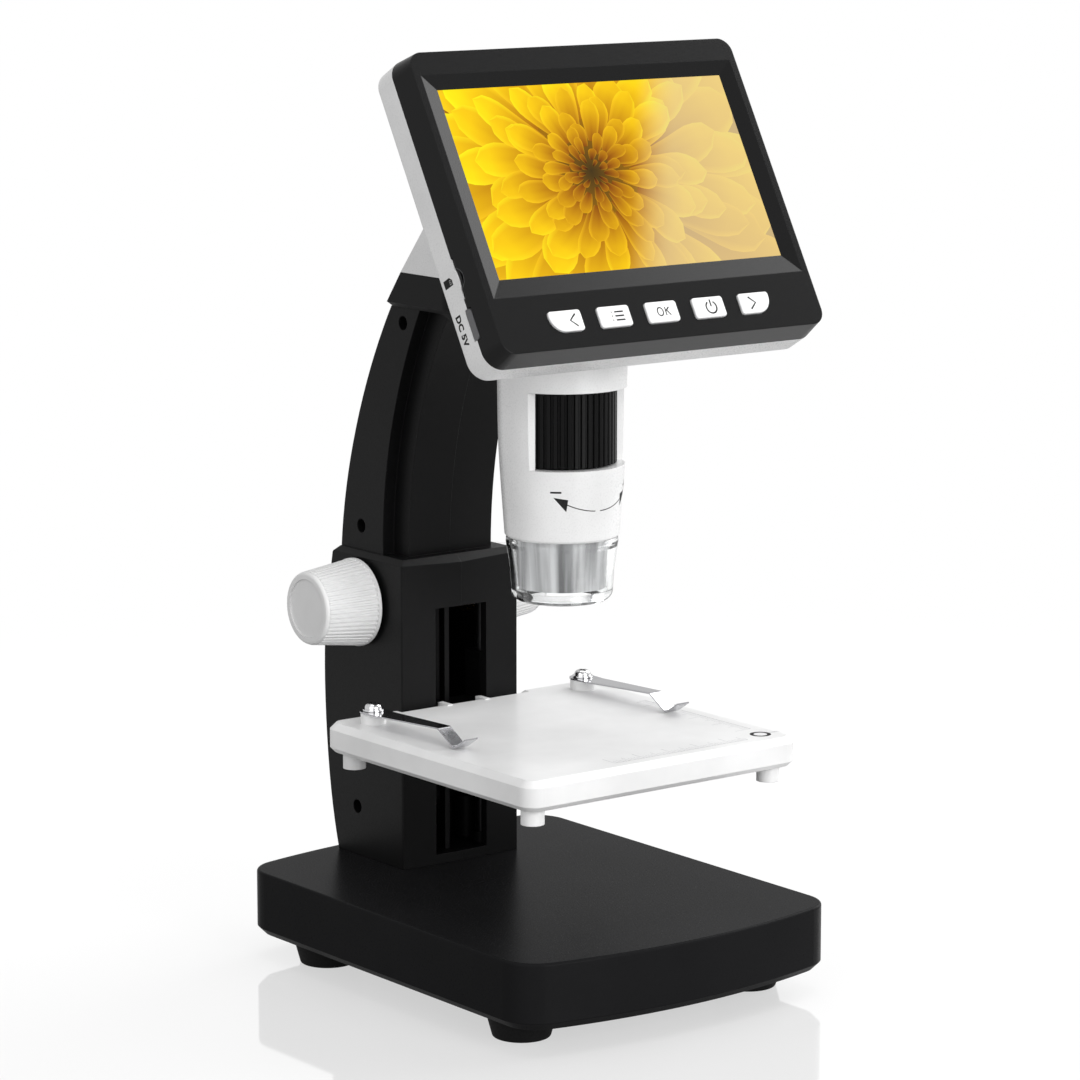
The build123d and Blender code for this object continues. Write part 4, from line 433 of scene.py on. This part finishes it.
def lit_picture(head, look):
    """The lit screen: the picture under a painted pale diagonal sheen in its glow, behind a glossy cover.
    """
    f = Finish("lit_screen")
    shown = f.nodes.new("ShaderNodeAttribute")
    shown.attribute_name = "Picture"
    s, c, lean = math.sin(head.tilt), math.cos(head.tilt), look.sheen_lean
    across = f.nodes.new("ShaderNodeVectorMath")
    across.operation = "DOT_PRODUCT"
    across.inputs[1].default_value = (1, -lean * s, -lean * c)
    f.links.new(f.place, across.inputs[0])
    edge = look.sheen_edge - lean * (head.screen_y * s + head.screen_z * c)
    start, end = (edge + reach for reach in PAINTED_SHEEN_FADE)
    painted_sheen_band = f.ramp(across.outputs["Value"], 0.0, look.sheen_cover, start, end, smooth=True)
    mix = f.nodes.new("ShaderNodeMix")
    mix.data_type = "RGBA"
    mix.inputs["B"].default_value = (*look.sheen, 1)
    f.links.new(shown.outputs["Color"], mix.inputs["A"])
    f.links.new(painted_sheen_band, mix.inputs["Factor"])
    f.feed("Emission Color", mix.outputs["Result"])
    f.put(Base_Color=(0.004, 0.004, 0.004, 1), Emission_Strength=look.glow)
    f.put(IOR=1.45, Specular_IOR_Level=0.07)
    f.feed("Roughness", f.ramp(f.noise(70.0), 0.06, 0.09))
    return f.material


FINISHES = {}


def build_finishes(colours):
    """Fills FINISHES from the colours of the panel."""
    black, white, ink = tuple(colours.black), tuple(colours.white), tuple(colours.ink)
    soft_black = scaled(black, 0.7)
    base_black = scaled(black, 3.2)
    FINISHES.update(
        black=moulded("black_moulded_plastic", black, 0.42, 2600.0, level=0.13),
        base=moulded("black_base_plastic", base_black, 0.30, 2200.0, 0.03, level=0.018, relief=0.00001),
        bezel=moulded("black_bezel_plastic", soft_black, 0.24, 3000.0, 0.02, level=0.23, relief=0.000006),
        dark_steel=metal("blackened_steel", (0.03, 0.03, 0.031), 0.45),
        # The lamp shade's dark and light upright streaks are painted reflections.
        frosted=fluted_with_painted_streaks("frosted_shade_painted_streaks", (0.10, 0.10, 0.105), (0.74, 0.74, 0.75)),
        wheel=moulded("focus_wheel_rubber", soft_black, 0.26, 2400.0, 0.01, level=0.12, relief=0.000002),
        rubber=moulded("black_foot_rubber", soft_black, 0.70, 1500.0, level=0.2),
        satin=moulded("satin_silver_cell", (0.42, 0.42, 0.43), 0.35, 1400.0),
        lamp_board=moulded("white_lamp_board", (0.72, 0.72, 0.71), 0.4, 900.0),
        grey_rubber=moulded("grey_plug_rubber", (0.13, 0.13, 0.135), 0.55, 2000.0),
        white=moulded("white_moulded_plastic", white, 0.30, 2600.0, 0.05, coat=0.15),
        stage=moulded("white_stage_plastic", scaled(white, 1.05), 0.34, 2600.0, 0.05, coat=0.1),
        knob=moulded("white_knob_plastic", white, 0.42, 2200.0),
        key=moulded("white_key_plastic", scaled(white, 1.08), 0.32, 2600.0, 0.04),
        chrome=metal("chrome_plating", (0.78, 0.78, 0.79), 0.09),
        spring=metal("spring_steel", (0.54, 0.54, 0.56), 0.12, brushed=(1.0, 0.06, 1.0)),
        steel=metal("turned_steel", (0.45, 0.45, 0.46), 0.30),
        brass=metal("turned_brass", (0.66, 0.46, 0.18), 0.28),
        iron=metal("cast_iron", (0.16, 0.16, 0.17), 0.62, grain=400.0),
        # Painted shade: the card socket's shell is near black to stand for the shade inside the card slot.
        socket=metal("card_socket_shell_painted_shade", (0.03, 0.03, 0.031), 0.5),
        foil=metal("cell_foil", (0.66, 0.66, 0.68), 0.35),
        clear=clear("clear_acrylic", (0.97, 0.98, 0.98), 1.49),
        glass=clear("optical_glass", (0.98, 0.99, 0.99), 1.52),
        board=moulded("solder_mask", (0.012, 0.075, 0.03), 0.35, 900.0),
        chip=moulded("moulded_chip", (0.015, 0.015, 0.015), 0.5, 1800.0),
        led=moulded("lamp_lens", (0.9, 0.88, 0.7), 0.2, 900.0),
        panel=moulded("panel_black", (0.006, 0.006, 0.007), 0.2, 600.0),
        ink=printed("printed_ink", ink, scaled(ink, 1.6), 0.7, level=0.15),
        pale_ink=printed("pale_printed_ink", (0.36, 0.36, 0.37), (0.46, 0.46, 0.47), 0.45),
    )


NODE_FINISH = {
    "base_housing": "base", "base_bottom_cover": "base", "base_weight": "iron", "base_feet": "rubber",
    "base_screws": "steel", "column_foot_screws": "steel", "column_right_shell": "black",
    "column_left_shell": "black", "column_screws": "steel", "collar": "black", "guide_rods": "dark_steel",
    "shaft_bushes": "brass", "drive_shaft": "steel", "drive_pinion": "brass", "knob_right": "knob",
    "knob_left": "knob", "stage_carriage": "black", "stage_rack": "black", "stage_plate": "stage",
    "stage_screws": "steel", "clip_left": "spring", "clip_right": "spring", "clip_screws": "chrome",
    "rear_case": "white", "front_bezel": "bezel", "cover_glass": "panel", "lcd_panel": "panel",
    "main_board": "board", "board_chips": "chip", "battery": "foil", "card_socket": "socket",
    "port_socket": "steel", "port_cover": "grey_rubber", "key_board": "board", "key_switches": "chip",
    "case_screws": "steel", "barrel_sleeve": "white", "barrel_core": "black", "focus_wheel": "wheel",
    "lens_cell": "satin", "lens": "glass", "sensor_board": "board", "led_board": "lamp_board",
    "leds": "led", "light_cup": "clear", "light_shade": "frosted", "key_back": "key",
    "key_menu": "key", "key_ok": "key", "key_power": "key", "key_forward": "key",
}


class MICROSCOPE_OT_finish_nodes(bpy.types.Operator):
    """Give every packed piece its finish"""
    bl_idname = "microscope.finish_nodes"
    bl_label = "Finish the packed pieces"

    def execute(self, context):
        build_finishes(context.scene.microscope_finish)
        FINISHES["picture"] = lit_picture(context.scene.microscope_head, context.scene.microscope_picture)
        for node, finish in NODE_FINISH.items():
            dress(node, FINISHES[finish])
        return {"FINISHED"}


# ---------------------------------------------------------------- picture on the screen

SEED = 11
# Measures of the petals: in the flower's middle, what is added out at its rim, and how steeply.
SPREAD = (0.00096, 0.0240, 1.6)  # distance of a petal's foot from the flower's middle
LENGTH = (0.0019, 0.0420, 2.3)
WIDTH = (0.00115, 0.0165, 1.9)
GOLDEN_TURN = math.pi * (3 - math.sqrt(5))
WIDEST = 0.62  # share of a petal's length where it is widest
FOOT_WIDTH = 0.42  # width of its foot over its greatest width
LAYER = 0.00000025  # height of each petal over the one before
COVER_DEPTH = 0.00005  # of the face of the display's cover under the screen's plane
PICTURE_LIFT = 0.000003  # of the picture's ground over that face
OVERHANG = 1.02  # size of the ground over that of the screen
GROUND_SHADE = 0.6  # of a petal's foot
HEART_RADIUS = 0.016  # of the ground's dark middle
HEART_SHARE = 0.34  # share of the way out where the feet of the petals are no longer dark
LIT_FROM = math.radians(125)  # direction on the screen whose petals are the lightest

# Light on a petal, at shares of its half width and of its length.
RIM_LIGHT, RIM_COLOUR = 0.26, (0.62, 0.46, 0.02)
TIP_LIGHT, TIP_START = 1.4, 0.93
FOLD_DEPTH, FOLD_PLACE, FOLD_WIDTH = 0.26, 0.05, 0.20
SIDE_DEPTH = 0.20  # of the shade on one half of a petal
FALL_OFF = (0.72, 1.2, 1.6)  # how steeply red, green and blue darken in less light


def grown(measure, far):
    """A petal's measure at its share of the way out."""
    inner, added, power = measure
    return inner + added * far ** power


def mixed(first, second, share):
    """A colour between two others."""
    return [a + (b - a) * share for a, b in zip(first, second)]


def petal_light(t, along, shade, deep, lit):
    """Colour at a share of a petal's half width and length, with a light rim and a dark fold."""
    rim = RIM_LIGHT * abs(t) ** 5 + TIP_LIGHT * max(0.0, along - TIP_START)
    fold = FOLD_DEPTH * math.exp(-((t - FOLD_PLACE) / FOLD_WIDTH) ** 2) * (1 - along)
    shaded = SIDE_DEPTH * max(0.0, t) * (1 - abs(t) ** 5)
    depth = min(1.0, 0.12 + 1.05 * along ** 0.85)
    light = shade * (1.0 - fold - shaded) * (0.42 + 0.62 * depth)
    return [min(1.0, colour * light ** power + rim * rim_colour)
            for colour, power, rim_colour in zip(mixed(deep, lit, depth), FALL_OFF, RIM_COLOUR)]


def petal(bm, layer, length, width, bend, shade, colours, place):
    """Adds one petal: a grid drawn in at its foot and rounded at its tip, its light in the layer."""
    grid = bmesh.ops.create_grid(bm, x_segments=6, y_segments=9, size=1.0)["verts"]
    for v in grid:
        t, along = v.co.x, (v.co.y + 1) / 2
        swell = FOOT_WIDTH + (1 - FOOT_WIDTH) * min(1.0, along / WIDEST) ** 0.8
        tip = math.sqrt(max(0.0, 1 - (max(0.0, along - WIDEST) / (1 - WIDEST)) ** 2))
        v.co = (width / 2 * t * swell * tip + bend * along * along, length * along, 0)
        v[layer] = (*petal_light(t, along, shade, *colours), 1.0)
    bmesh.ops.transform(bm, matrix=place, verts=grid)


def picture_ground(bm, layer, head, look):
    """Adds the ground behind the petals, a little wider than the screen, dark in the middle."""
    for v in bmesh.ops.create_grid(bm, x_segments=60, y_segments=34, size=1.0)["verts"]:
        v.co = (v.co.x * head.screen_half_u * OVERHANG, v.co.y * head.screen_half_v * OVERHANG, 0)
        near = max(0.0, 1 - math.dist(v.co.xy, look.centre) / HEART_RADIUS)
        v[layer] = (*mixed(scaled(look.petal_deep, GROUND_SHADE), look.heart, near), 1.0)


def trim_to_screen(bm, head):
    """Cuts off what reaches past the edges of the lit area."""
    for axis, half in ((Vector((1, 0, 0)), head.screen_half_u), (Vector((0, 1, 0)), head.screen_half_v)):
        for side in (1, -1):
            bmesh.ops.bisect_plane(bm, geom=bm.verts[:] + bm.edges[:] + bm.faces[:], clear_outer=True,
                                   plane_co=axis * half * side, plane_no=axis * side)


class MICROSCOPE_OT_picture(bpy.types.Operator):
    """Flower on the lit screen, petal over petal from the outside in"""
    bl_idname = "microscope.picture"
    bl_label = "Picture on the screen"

    def execute(self, context):
        head, look = context.scene.microscope_head, context.scene.microscope_picture
        rng = random.Random(SEED)
        bm = bmesh.new()
        layer = bm.verts.layers.float_color.new("Picture")
        picture_ground(bm, layer, head, look)
        for order in range(look.petals):
            number = look.petals - order
            far = (number / look.petals) ** 0.5
            spread = grown(SPREAD, far)
            length = grown(LENGTH, far) * rng.uniform(0.86, 1.16)
            width = grown(WIDTH, far) * rng.uniform(0.84, 1.14)
            turn = number * GOLDEN_TURN + rng.uniform(-0.16, 0.16)
            foot = Matrix.Translation((look.centre[0] + spread * math.cos(turn),
                                       look.centre[1] + spread * math.sin(turn), (order + 1) * LAYER))
            place = foot @ Matrix.Rotation(turn - math.pi / 2 + rng.uniform(-0.22, 0.22), 4, "Z")
            facing = 0.5 + 0.5 * math.cos(turn - LIT_FROM)
            outer = min(1.0, far * 1.45) ** 1.1
            shade = (0.16 + 0.96 * outer) * (0.80 + 0.26 * facing) * rng.uniform(0.84, 1.10)
            deep = mixed(look.heart, look.petal_deep, min(1.0, far / HEART_SHARE) ** 2)
            lit = mixed(look.petal_deep, look.petal, min(1.0, 0.15 + far * 1.9))
            bend = rng.uniform(-0.16, 0.16) * length
            petal(bm, layer, length, width, bend, shade, (deep, lit), place)
        trim_to_screen(bm, head)
        place = head_matrix(head) @ Matrix.Translation((0, 0, PICTURE_LIFT - COVER_DEPTH))
        piece = settle("screen_picture", bm, FINISHES["picture"], "stand", place)
        # The picture is made of open sheets, so the side that they face is checked.
        outward = head_matrix(head).to_3x3() @ Vector((0, 0, 1))
        if sum(p.normal.dot(outward) * p.area for p in piece.data.polygons) < 0:
            piece.data.flip_normals()
        return {"FINISHED"}


# ---------------------------------------------------------------- print

# Key, shift of its sign to the right, weight of its line, its open lines and its closed rings.
# Shifts and points are in millimetres.
SIGNS = (
    ("back", 2.2, 1.0, [[(0.95, 1.75), (-1.05, 0), (0.95, -1.75)]], []),
    ("menu", 0.9, 0.85, [[(left, y), (right, y)] for left, right in ((-0.9, 2.0), (-2.0, -1.75))
                         for y in (1.15, 0, -1.15)], []),
    ("ok", 0.3, 0.72, [[(0.65, 1.15), (0.65, -1.15)], [(2.0, 1.15), (0.7, 0.05)],
                       [(1.05, 0.35), (2.1, -1.15)]], [oval(-1.15, 0.95, 1.15)]),
    ("power", 0.6, 0.9, [[(0, 2.1), (0, 0.1)],
                         arc((0, -0.1), 1.72, math.radians(122), math.radians(418))], []),
    ("forward", -1.1, 1.0, [[(-0.95, 1.75), (1.05, 0), (-0.95, -1.75)]], []),
)


def in_metres(path):
    """Points given in millimetres, in metres."""
    return [(x * MM, y * MM) for x, y in path]


class MICROSCOPE_OT_key_icons(bpy.types.Operator):
    """Printed signs on the five keys"""
    bl_idname = "microscope.key_icons"
    bl_label = "Signs on the keys"

    def execute(self, context):
        head, marks = context.scene.microscope_head, context.scene.microscope_marks
        for index, (key, shift, weight, lines, rings) in enumerate(SIGNS):
            bm = bmesh.new()
            stroke(bm, map(in_metres, lines), marks.line * weight)
            if rings:
                stroke(bm, map(in_metres, rings), marks.line * weight, closed=True)
            across = (index - 2) * head.key_pitch + shift * MM
            place = head_matrix(head) @ Matrix.Translation((across, head.key_v, head.key_top))
            settle(f"sign_{key}", bm, FINISHES["ink"], f"{key}_key", place)
        return {"FINISHED"}


# Card sign in millimetres, X down the slope and Y towards the screen: its outline with a cut corner,
# and the lines of its contacts.
CARD = ((-1.15, -1.85), (1.15, -1.85), (1.15, 1.85), (-0.25, 1.85), (-1.15, 0.95))
CONTACTS = [[(x, 0.55), (x, 1.35)] for x in (-0.378, 0.118, 0.614)]
CONTACT_LINE = 0.00026
CONTACT_LIFT = 0.000014  # of the contacts over the card
# Width of the painted highlight: a grey line along the rim of the thumb notch, where light catches its
# edge.
PAINTED_NOTCH_LINE = 0.00016  # the rim of the thumb notch
NOTCH_ENDS = (math.radians(25), math.radians(155))
RATING_SPACING, RATING_WEIGHT = 1.05, 0.00013


class MICROSCOPE_OT_side_marks(bpy.types.Operator):
    """Card sign, painted highlight on the thumb notch's rim, and rating beside the openings in the head's
    left side
    """
    bl_idname = "microscope.side_marks"
    bl_label = "Signs on the head's side"

    def execute(self, context):
        head, marks = context.scene.microscope_head, context.scene.microscope_marks
        plane = head_matrix(head)

        def side(v, d):
            """Plane on the head's left side, its X down the slope and its Y towards the screen."""
            turned = plane.copy()
            across, up, out = (plane.col[k].to_3d() for k in range(3))
            for k, column in enumerate((-up, out, -across)):
                turned.col[k] = (*column, 0)
            turned.translation = plane @ Vector((marks.side_u, v, d))
            return turned

        bm = bmesh.new()
        solid_shape(bm, in_metres(CARD))
        settle("sign_card", bm, FINISHES["ink"], "stand", side(*marks.card_sign))
        bm = bmesh.new()
        stroke(bm, map(in_metres, CONTACTS), CONTACT_LINE)
        settle("sign_card_contacts", bm, FINISHES["white"], "stand",
               side(*marks.card_sign) @ Matrix.Translation((0, 0, CONTACT_LIFT)))
        bm = bmesh.new()
        # Painted highlight: a grey line on the thumb notch's rim stands for the light along its edge.
        stroke(bm, [arc((0, marks.notch_middle), marks.notch_radius, *NOTCH_ENDS)], PAINTED_NOTCH_LINE)
        settle("card_notch_painted_highlight", bm, FINISHES["grey_rubber"], "stand",
               side(*marks.notch) @ Matrix.Rotation(-marks.side_lean, 4, "X"))
        bm = bmesh.new()
        lettering(bm, "DC 5V", marks.rating_size, (0, 0), RATING_SPACING, RATING_WEIGHT)
        settle("sign_rating", bm, FINISHES["ink"], "stand", side(*marks.rating))
        return {"FINISHED"}


# Arrow drawn flat, as turns and heights in radii of the sleeve.
SWEEPS = ((-0.80, -0.10), (0.02, 0.80))  # stretches of its line, as shares of the half turn
SWEEP_STEPS = 20
HEAD_FOOT = 0.70  # where an arrowhead begins, as a share of the half turn
BARB_UP, BARB_DOWN, BARB_OUT = 0.088, 0.112, 0.03  # corners of its foot: over, under, towards the tip
PLUS_HALF = 0.085  # half the size of the plus, and the rise of both signs over the tips
MINUS_ENDS = (-0.05, 0.13)  # from the left tip
LONGEST_EDGE = 0.04  # longer edges are cut up before the arrow is bent
ARROW_LINE = 0.00026
ARROW_SIGN_LINE = 0.00050
ARROW_LIFT = 0.000018  # of the middle of its thickness over the sleeve
OUTSIDE = 0.03  # distance from the axis that is outside the sleeve


class MICROSCOPE_OT_turn_arrow(bpy.types.Operator):
    """Double arrow with its signs under the focus wheel, laid on the sleeve"""
    bl_idname = "microscope.turn_arrow"
    bl_label = "Arrow on the sleeve"

    def execute(self, context):
        marks = context.scene.microscope_marks
        half, radius = marks.arrow_half_turn, marks.arrow_radius

        def curved(turn):
            """Height of the arrow's line."""
            return (marks.arrow_z + marks.arrow_rise * (turn / half) ** 2) / radius

        bm = bmesh.new()
        for start, end in SWEEPS:
            turns = [half * (start + (end - start) * k / SWEEP_STEPS) for k in range(SWEEP_STEPS + 1)]
            stroke(bm, [[(turn, curved(turn)) for turn in turns]], ARROW_LINE / radius)
        for side in (-1, 1):
            tip, foot = side * half, side * half * HEAD_FOOT
            solid_shape(bm, [(tip, curved(tip)), (foot, curved(foot) + BARB_UP),
                             (foot + side * BARB_OUT, curved(foot) - BARB_DOWN)])
        top = curved(half) + PLUS_HALF
        minus = [(-half + shift, top) for shift in MINUS_ENDS]
        stroke(bm, [minus, [(half - PLUS_HALF, top), (half + PLUS_HALF, top)],
                    [(half, top - PLUS_HALF), (half, top + PLUS_HALF)]], ARROW_SIGN_LINE / radius)
        bmesh.ops.triangulate(bm, faces=bm.faces)
        long_edges = [e for e in bm.edges if e.calc_length() > LONGEST_EDGE]
        bmesh.ops.subdivide_edges(bm, edges=long_edges, cuts=4, use_grid_fill=True)

        low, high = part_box("barrel_sleeve")
        axis = Vector(((low[0] + high[0]) / 2, (low[1] + high[1]) / 2, 0))
        sleeve = surface("barrel_sleeve")
        for v in bm.verts:
            out = Vector((math.sin(v.co.x), -math.cos(v.co.x), 0))
            hit = sleeve.ray_cast(axis + out * OUTSIDE + Vector((0, 0, v.co.y * radius)), -out)[0]
            if hit is None:
                raise RuntimeError("the arrow misses the sleeve")
            v.co = hit + out * (v.co.z + ARROW_LIFT)
        settle("turn_arrow", bm, FINISHES["ink"], "stand")
        return {"FINISHED"}


TICKS = ((10, 5.4), (5, 3.8), (1, 2.2))  # every so many millimetres, a line so many long
SCALE_LINE = 0.00022
TICK_LINE = 0.00018
RING_LINE = 0.0011
RING_POINTS = 32
UNIT_SHIFT = 0.0048  # from the ring's middle to that of the letters


def scale_print(bm, start, along, up, steps):
    """Adds a scale from its start along one direction, its lines standing in the other."""
    marked = [(start[0] + along[0] * k * MM, start[1] + along[1] * k * MM) for k in range(steps + 1)]
    stroke(bm, [[marked[0], marked[-1]]], SCALE_LINE)
    ticks = []
    for k, (x, y) in enumerate(marked):
        length = next(length for every, length in TICKS if k % every == 0) * MM
        ticks.append([(x, y), (x + up[0] * length, y + up[1] * length)])
    stroke(bm, ticks, TICK_LINE)


class MICROSCOPE_OT_stage_print(bpy.types.Operator):
    """Two scales and the ring mark printed on the stage"""
    bl_idname = "microscope.stage_print"
    bl_label = "Print on the stage"

    def execute(self, context):
        marks = context.scene.microscope_marks
        place = Matrix.Translation((0, 0, marks.stage_top))
        steps = round(marks.scale_length / MM)
        bm = bmesh.new()
        scale_print(bm, marks.scale_start, (1, 0), (0, 1), steps)
        scale_print(bm, marks.side_scale, (0, 1), (-1, 0), steps)
        settle("stage_scales", bm, FINISHES["pale_ink"], "stage", place)
        bm = bmesh.new()
        last = RING_POINTS - 1
        ring = arc(marks.ring, marks.ring_radius, 0, math.tau * last / RING_POINTS, last)
        stroke(bm, [ring], RING_LINE, closed=True)
        settle("stage_ring", bm, FINISHES["ink"], "stage", place)
        bm = bmesh.new()
        lettering(bm, "mm", marks.unit_size, (marks.ring[0] + UNIT_SHIFT, marks.ring[1]))
        settle("stage_unit", bm, FINISHES["pale_ink"], "stage", place)
        return {"FINISHED"}


# ---------------------------------------------------------------- studio

# Name, place, length of its side and power of each lamp.
LAMPS = (
    ("lamp_right", (1.65, 0.05, 1.1), 1.5, 26.0),
    ("lamp_front", (0.1, -1.75, 0.6), 1.0, 20.0),
    ("lamp_left", (-1.5, -0.75, 0.95), 1.8, 10.6),
    ("lamp_top", (0.2, 0.1, 1.8), 1.5, 9.5),
)
LIT_POINT = Vector((0, 0, 0.12))  # where every lamp points


def worked(tree, operation, first, second):
    """Result of an operation on an output and a number or another output."""
    node = tree.nodes.new("ShaderNodeMath")
    node.operation = operation
    tree.links.new(first, node.inputs[0])
    if isinstance(second, float):
        node.inputs[1].default_value = second
    else:
        tree.links.new(second, node.inputs[1])
    return node.outputs[0]


def shown_white(tree, mirrored):
    """1 on camera and transmission rays, and a share of it on glossy rays."""
    path = tree.nodes.new("ShaderNodeLightPath").outputs
    straight = worked(tree, "MAXIMUM", path["Is Camera Ray"], path["Is Transmission Ray"])
    return worked(tree, "MAXIMUM", straight, worked(tree, "MULTIPLY", path["Is Glossy Ray"], mirrored))


def floor_finish(settings):
    """Glossy pale floor that keeps the shadow near the object and turns pure white further out."""
    f = Finish("floor_white")
    f.put(Base_Color=(*settings.floor, 1), Roughness=0.05, IOR=1.9, Emission_Color=(1, 1, 1, 1))
    lift = worked(f.tree, "MULTIPLY", shown_white(f.tree, settings.mirrored), settings.lift)
    f.feed("Emission Strength", lift)
    apart = f.nodes.new("ShaderNodeVectorMath")
    apart.operation = "LENGTH"
    f.links.new(f.place, apart.inputs[0])
    far = f.ramp(apart.outputs["Value"], 0.0, 1.0, *settings.fade, smooth=True)
    path = f.nodes.new("ShaderNodeLightPath").outputs
    white = f.nodes.new("ShaderNodeEmission")
    mix = f.nodes.new("ShaderNodeMixShader")
    f.links.new(worked(f.tree, "MULTIPLY", far, path["Is Camera Ray"]), mix.inputs["Fac"])
    f.links.new(f.shader.outputs["BSDF"], mix.inputs[1])
    f.links.new(white.outputs["Emission"], mix.inputs[2])
    f.links.new(mix.outputs["Shader"], f.nodes["Material Output"].inputs["Surface"])
    return f.material


def studio_floor(settings):
    """Square floor under the object."""
    bm = bmesh.new()
    bmesh.ops.create_grid(bm, x_segments=1, y_segments=1, size=settings.floor_size / 2)
    mesh = bpy.data.meshes.new("floor")
    bm.to_mesh(mesh)
    bm.free()
    mesh.materials.append(floor_finish(settings))
    return bpy.data.objects.new("floor", mesh)


def studio_world(settings):
    """White for the camera, and softer light from all round for the object."""
    world = bpy.data.worlds.new("studio")
    world.use_nodes = True
    tree = world.node_tree
    shown, soft = tree.nodes["Background"], tree.nodes.new("ShaderNodeBackground")
    for background, strength in ((shown, 1.0), (soft, settings.ambient)):
        background.inputs["Color"].default_value = (1, 1, 1, 1)
        background.inputs["Strength"].default_value = strength
    mix = tree.nodes.new("ShaderNodeMixShader")
    tree.links.new(shown_white(tree, settings.mirrored), mix.inputs["Fac"])
    tree.links.new(soft.outputs["Background"], mix.inputs[1])
    tree.links.new(shown.outputs["Background"], mix.inputs[2])
    tree.links.new(mix.outputs["Shader"], tree.nodes["World Output"].inputs["Surface"])
    return world


def studio_camera(settings):
    """Camera at its place, turned and tipped to its angles."""
    right = Vector((math.cos(settings.azimuth), math.sin(settings.azimuth), 0))
    level = math.cos(settings.elevation)
    back = Vector((right.y * level, -right.x * level, math.sin(settings.elevation)))
    turned = Matrix((right, back.cross(right), back)).transposed().to_4x4()
    turned.translation = Vector(settings.camera_place)
    camera = bpy.data.objects.new("camera", bpy.data.cameras.new("camera"))
    camera.matrix_world = turned
    camera.data.lens = settings.lens
    camera.data.sensor_width = 36.0
    camera.data.clip_end = 20.0
    return camera


def studio_lamp(name, place, size, power):
    """Square lamp that faces the object."""
    light = bpy.data.lights.new(name, "AREA")
    light.size = size
    light.energy = power
    lamp = bpy.data.objects.new(name, light)
    lamp.location = place
    lamp.rotation_euler = (LIT_POINT - Vector(place)).to_track_quat("-Z", "Y").to_euler()
    return lamp


class MICROSCOPE_OT_studio(bpy.types.Operator):
    """Floor, lamps, world and camera"""
    bl_idname = "microscope.studio"
    bl_label = "Studio"

    def execute(self, context):
        scene = context.scene
        settings = scene.microscope_studio
        scene.view_settings.view_transform = "Standard"
        camera, floor = studio_camera(settings), studio_floor(settings)
        for thing in (camera, floor, *(studio_lamp(*lamp) for lamp in LAMPS)):
            scene.collection.objects.link(thing)
        scene.camera = camera
        scene.world = studio_world(settings)
        return {"FINISHED"}


# ---------------------------------------------------------------- panel and run

OPERATORS = (
    MICROSCOPE_OT_finish_nodes,
    MICROSCOPE_OT_picture,
    MICROSCOPE_OT_key_icons,
    MICROSCOPE_OT_side_marks,
    MICROSCOPE_OT_turn_arrow,
    MICROSCOPE_OT_stage_print,
    MICROSCOPE_OT_studio,
)


class MICROSCOPE_PT_parts(bpy.types.Panel):
    """Pieces of the microscope"""
    bl_idname = "MICROSCOPE_PT_parts"
    bl_label = "Microscope"
    bl_space_type = "VIEW_3D"
    bl_region_type = "UI"
    bl_category = "Microscope"

    def draw(self, context):
        for operator in OPERATORS:
            self.layout.operator(operator.bl_idname)
        for name, group in GROUPS:
            box = self.layout.box()
            box.label(text=group.__doc__)
            for key in group.__annotations__:
                box.prop(getattr(context.scene, name), key)


def register():
    for name, group in GROUPS:
        bpy.utils.register_class(group)
        setattr(bpy.types.Scene, name, PointerProperty(type=group))
    for kind in (*OPERATORS, MICROSCOPE_PT_parts):
        bpy.utils.register_class(kind)


def unregister():
    for kind in (MICROSCOPE_PT_parts, *reversed(OPERATORS)):
        bpy.utils.unregister_class(kind)
    for name, group in reversed(GROUPS):
        delattr(bpy.types.Scene, name)
        bpy.utils.unregister_class(group)


def main():
    register()
    bpy.ops.microscope.finish_nodes()
    bpy.ops.microscope.picture()
    bpy.ops.microscope.key_icons()
    bpy.ops.microscope.side_marks()
    bpy.ops.microscope.turn_arrow()
    bpy.ops.microscope.stage_print()
    bpy.ops.microscope.studio()


if __name__ == "__main__":
    main()
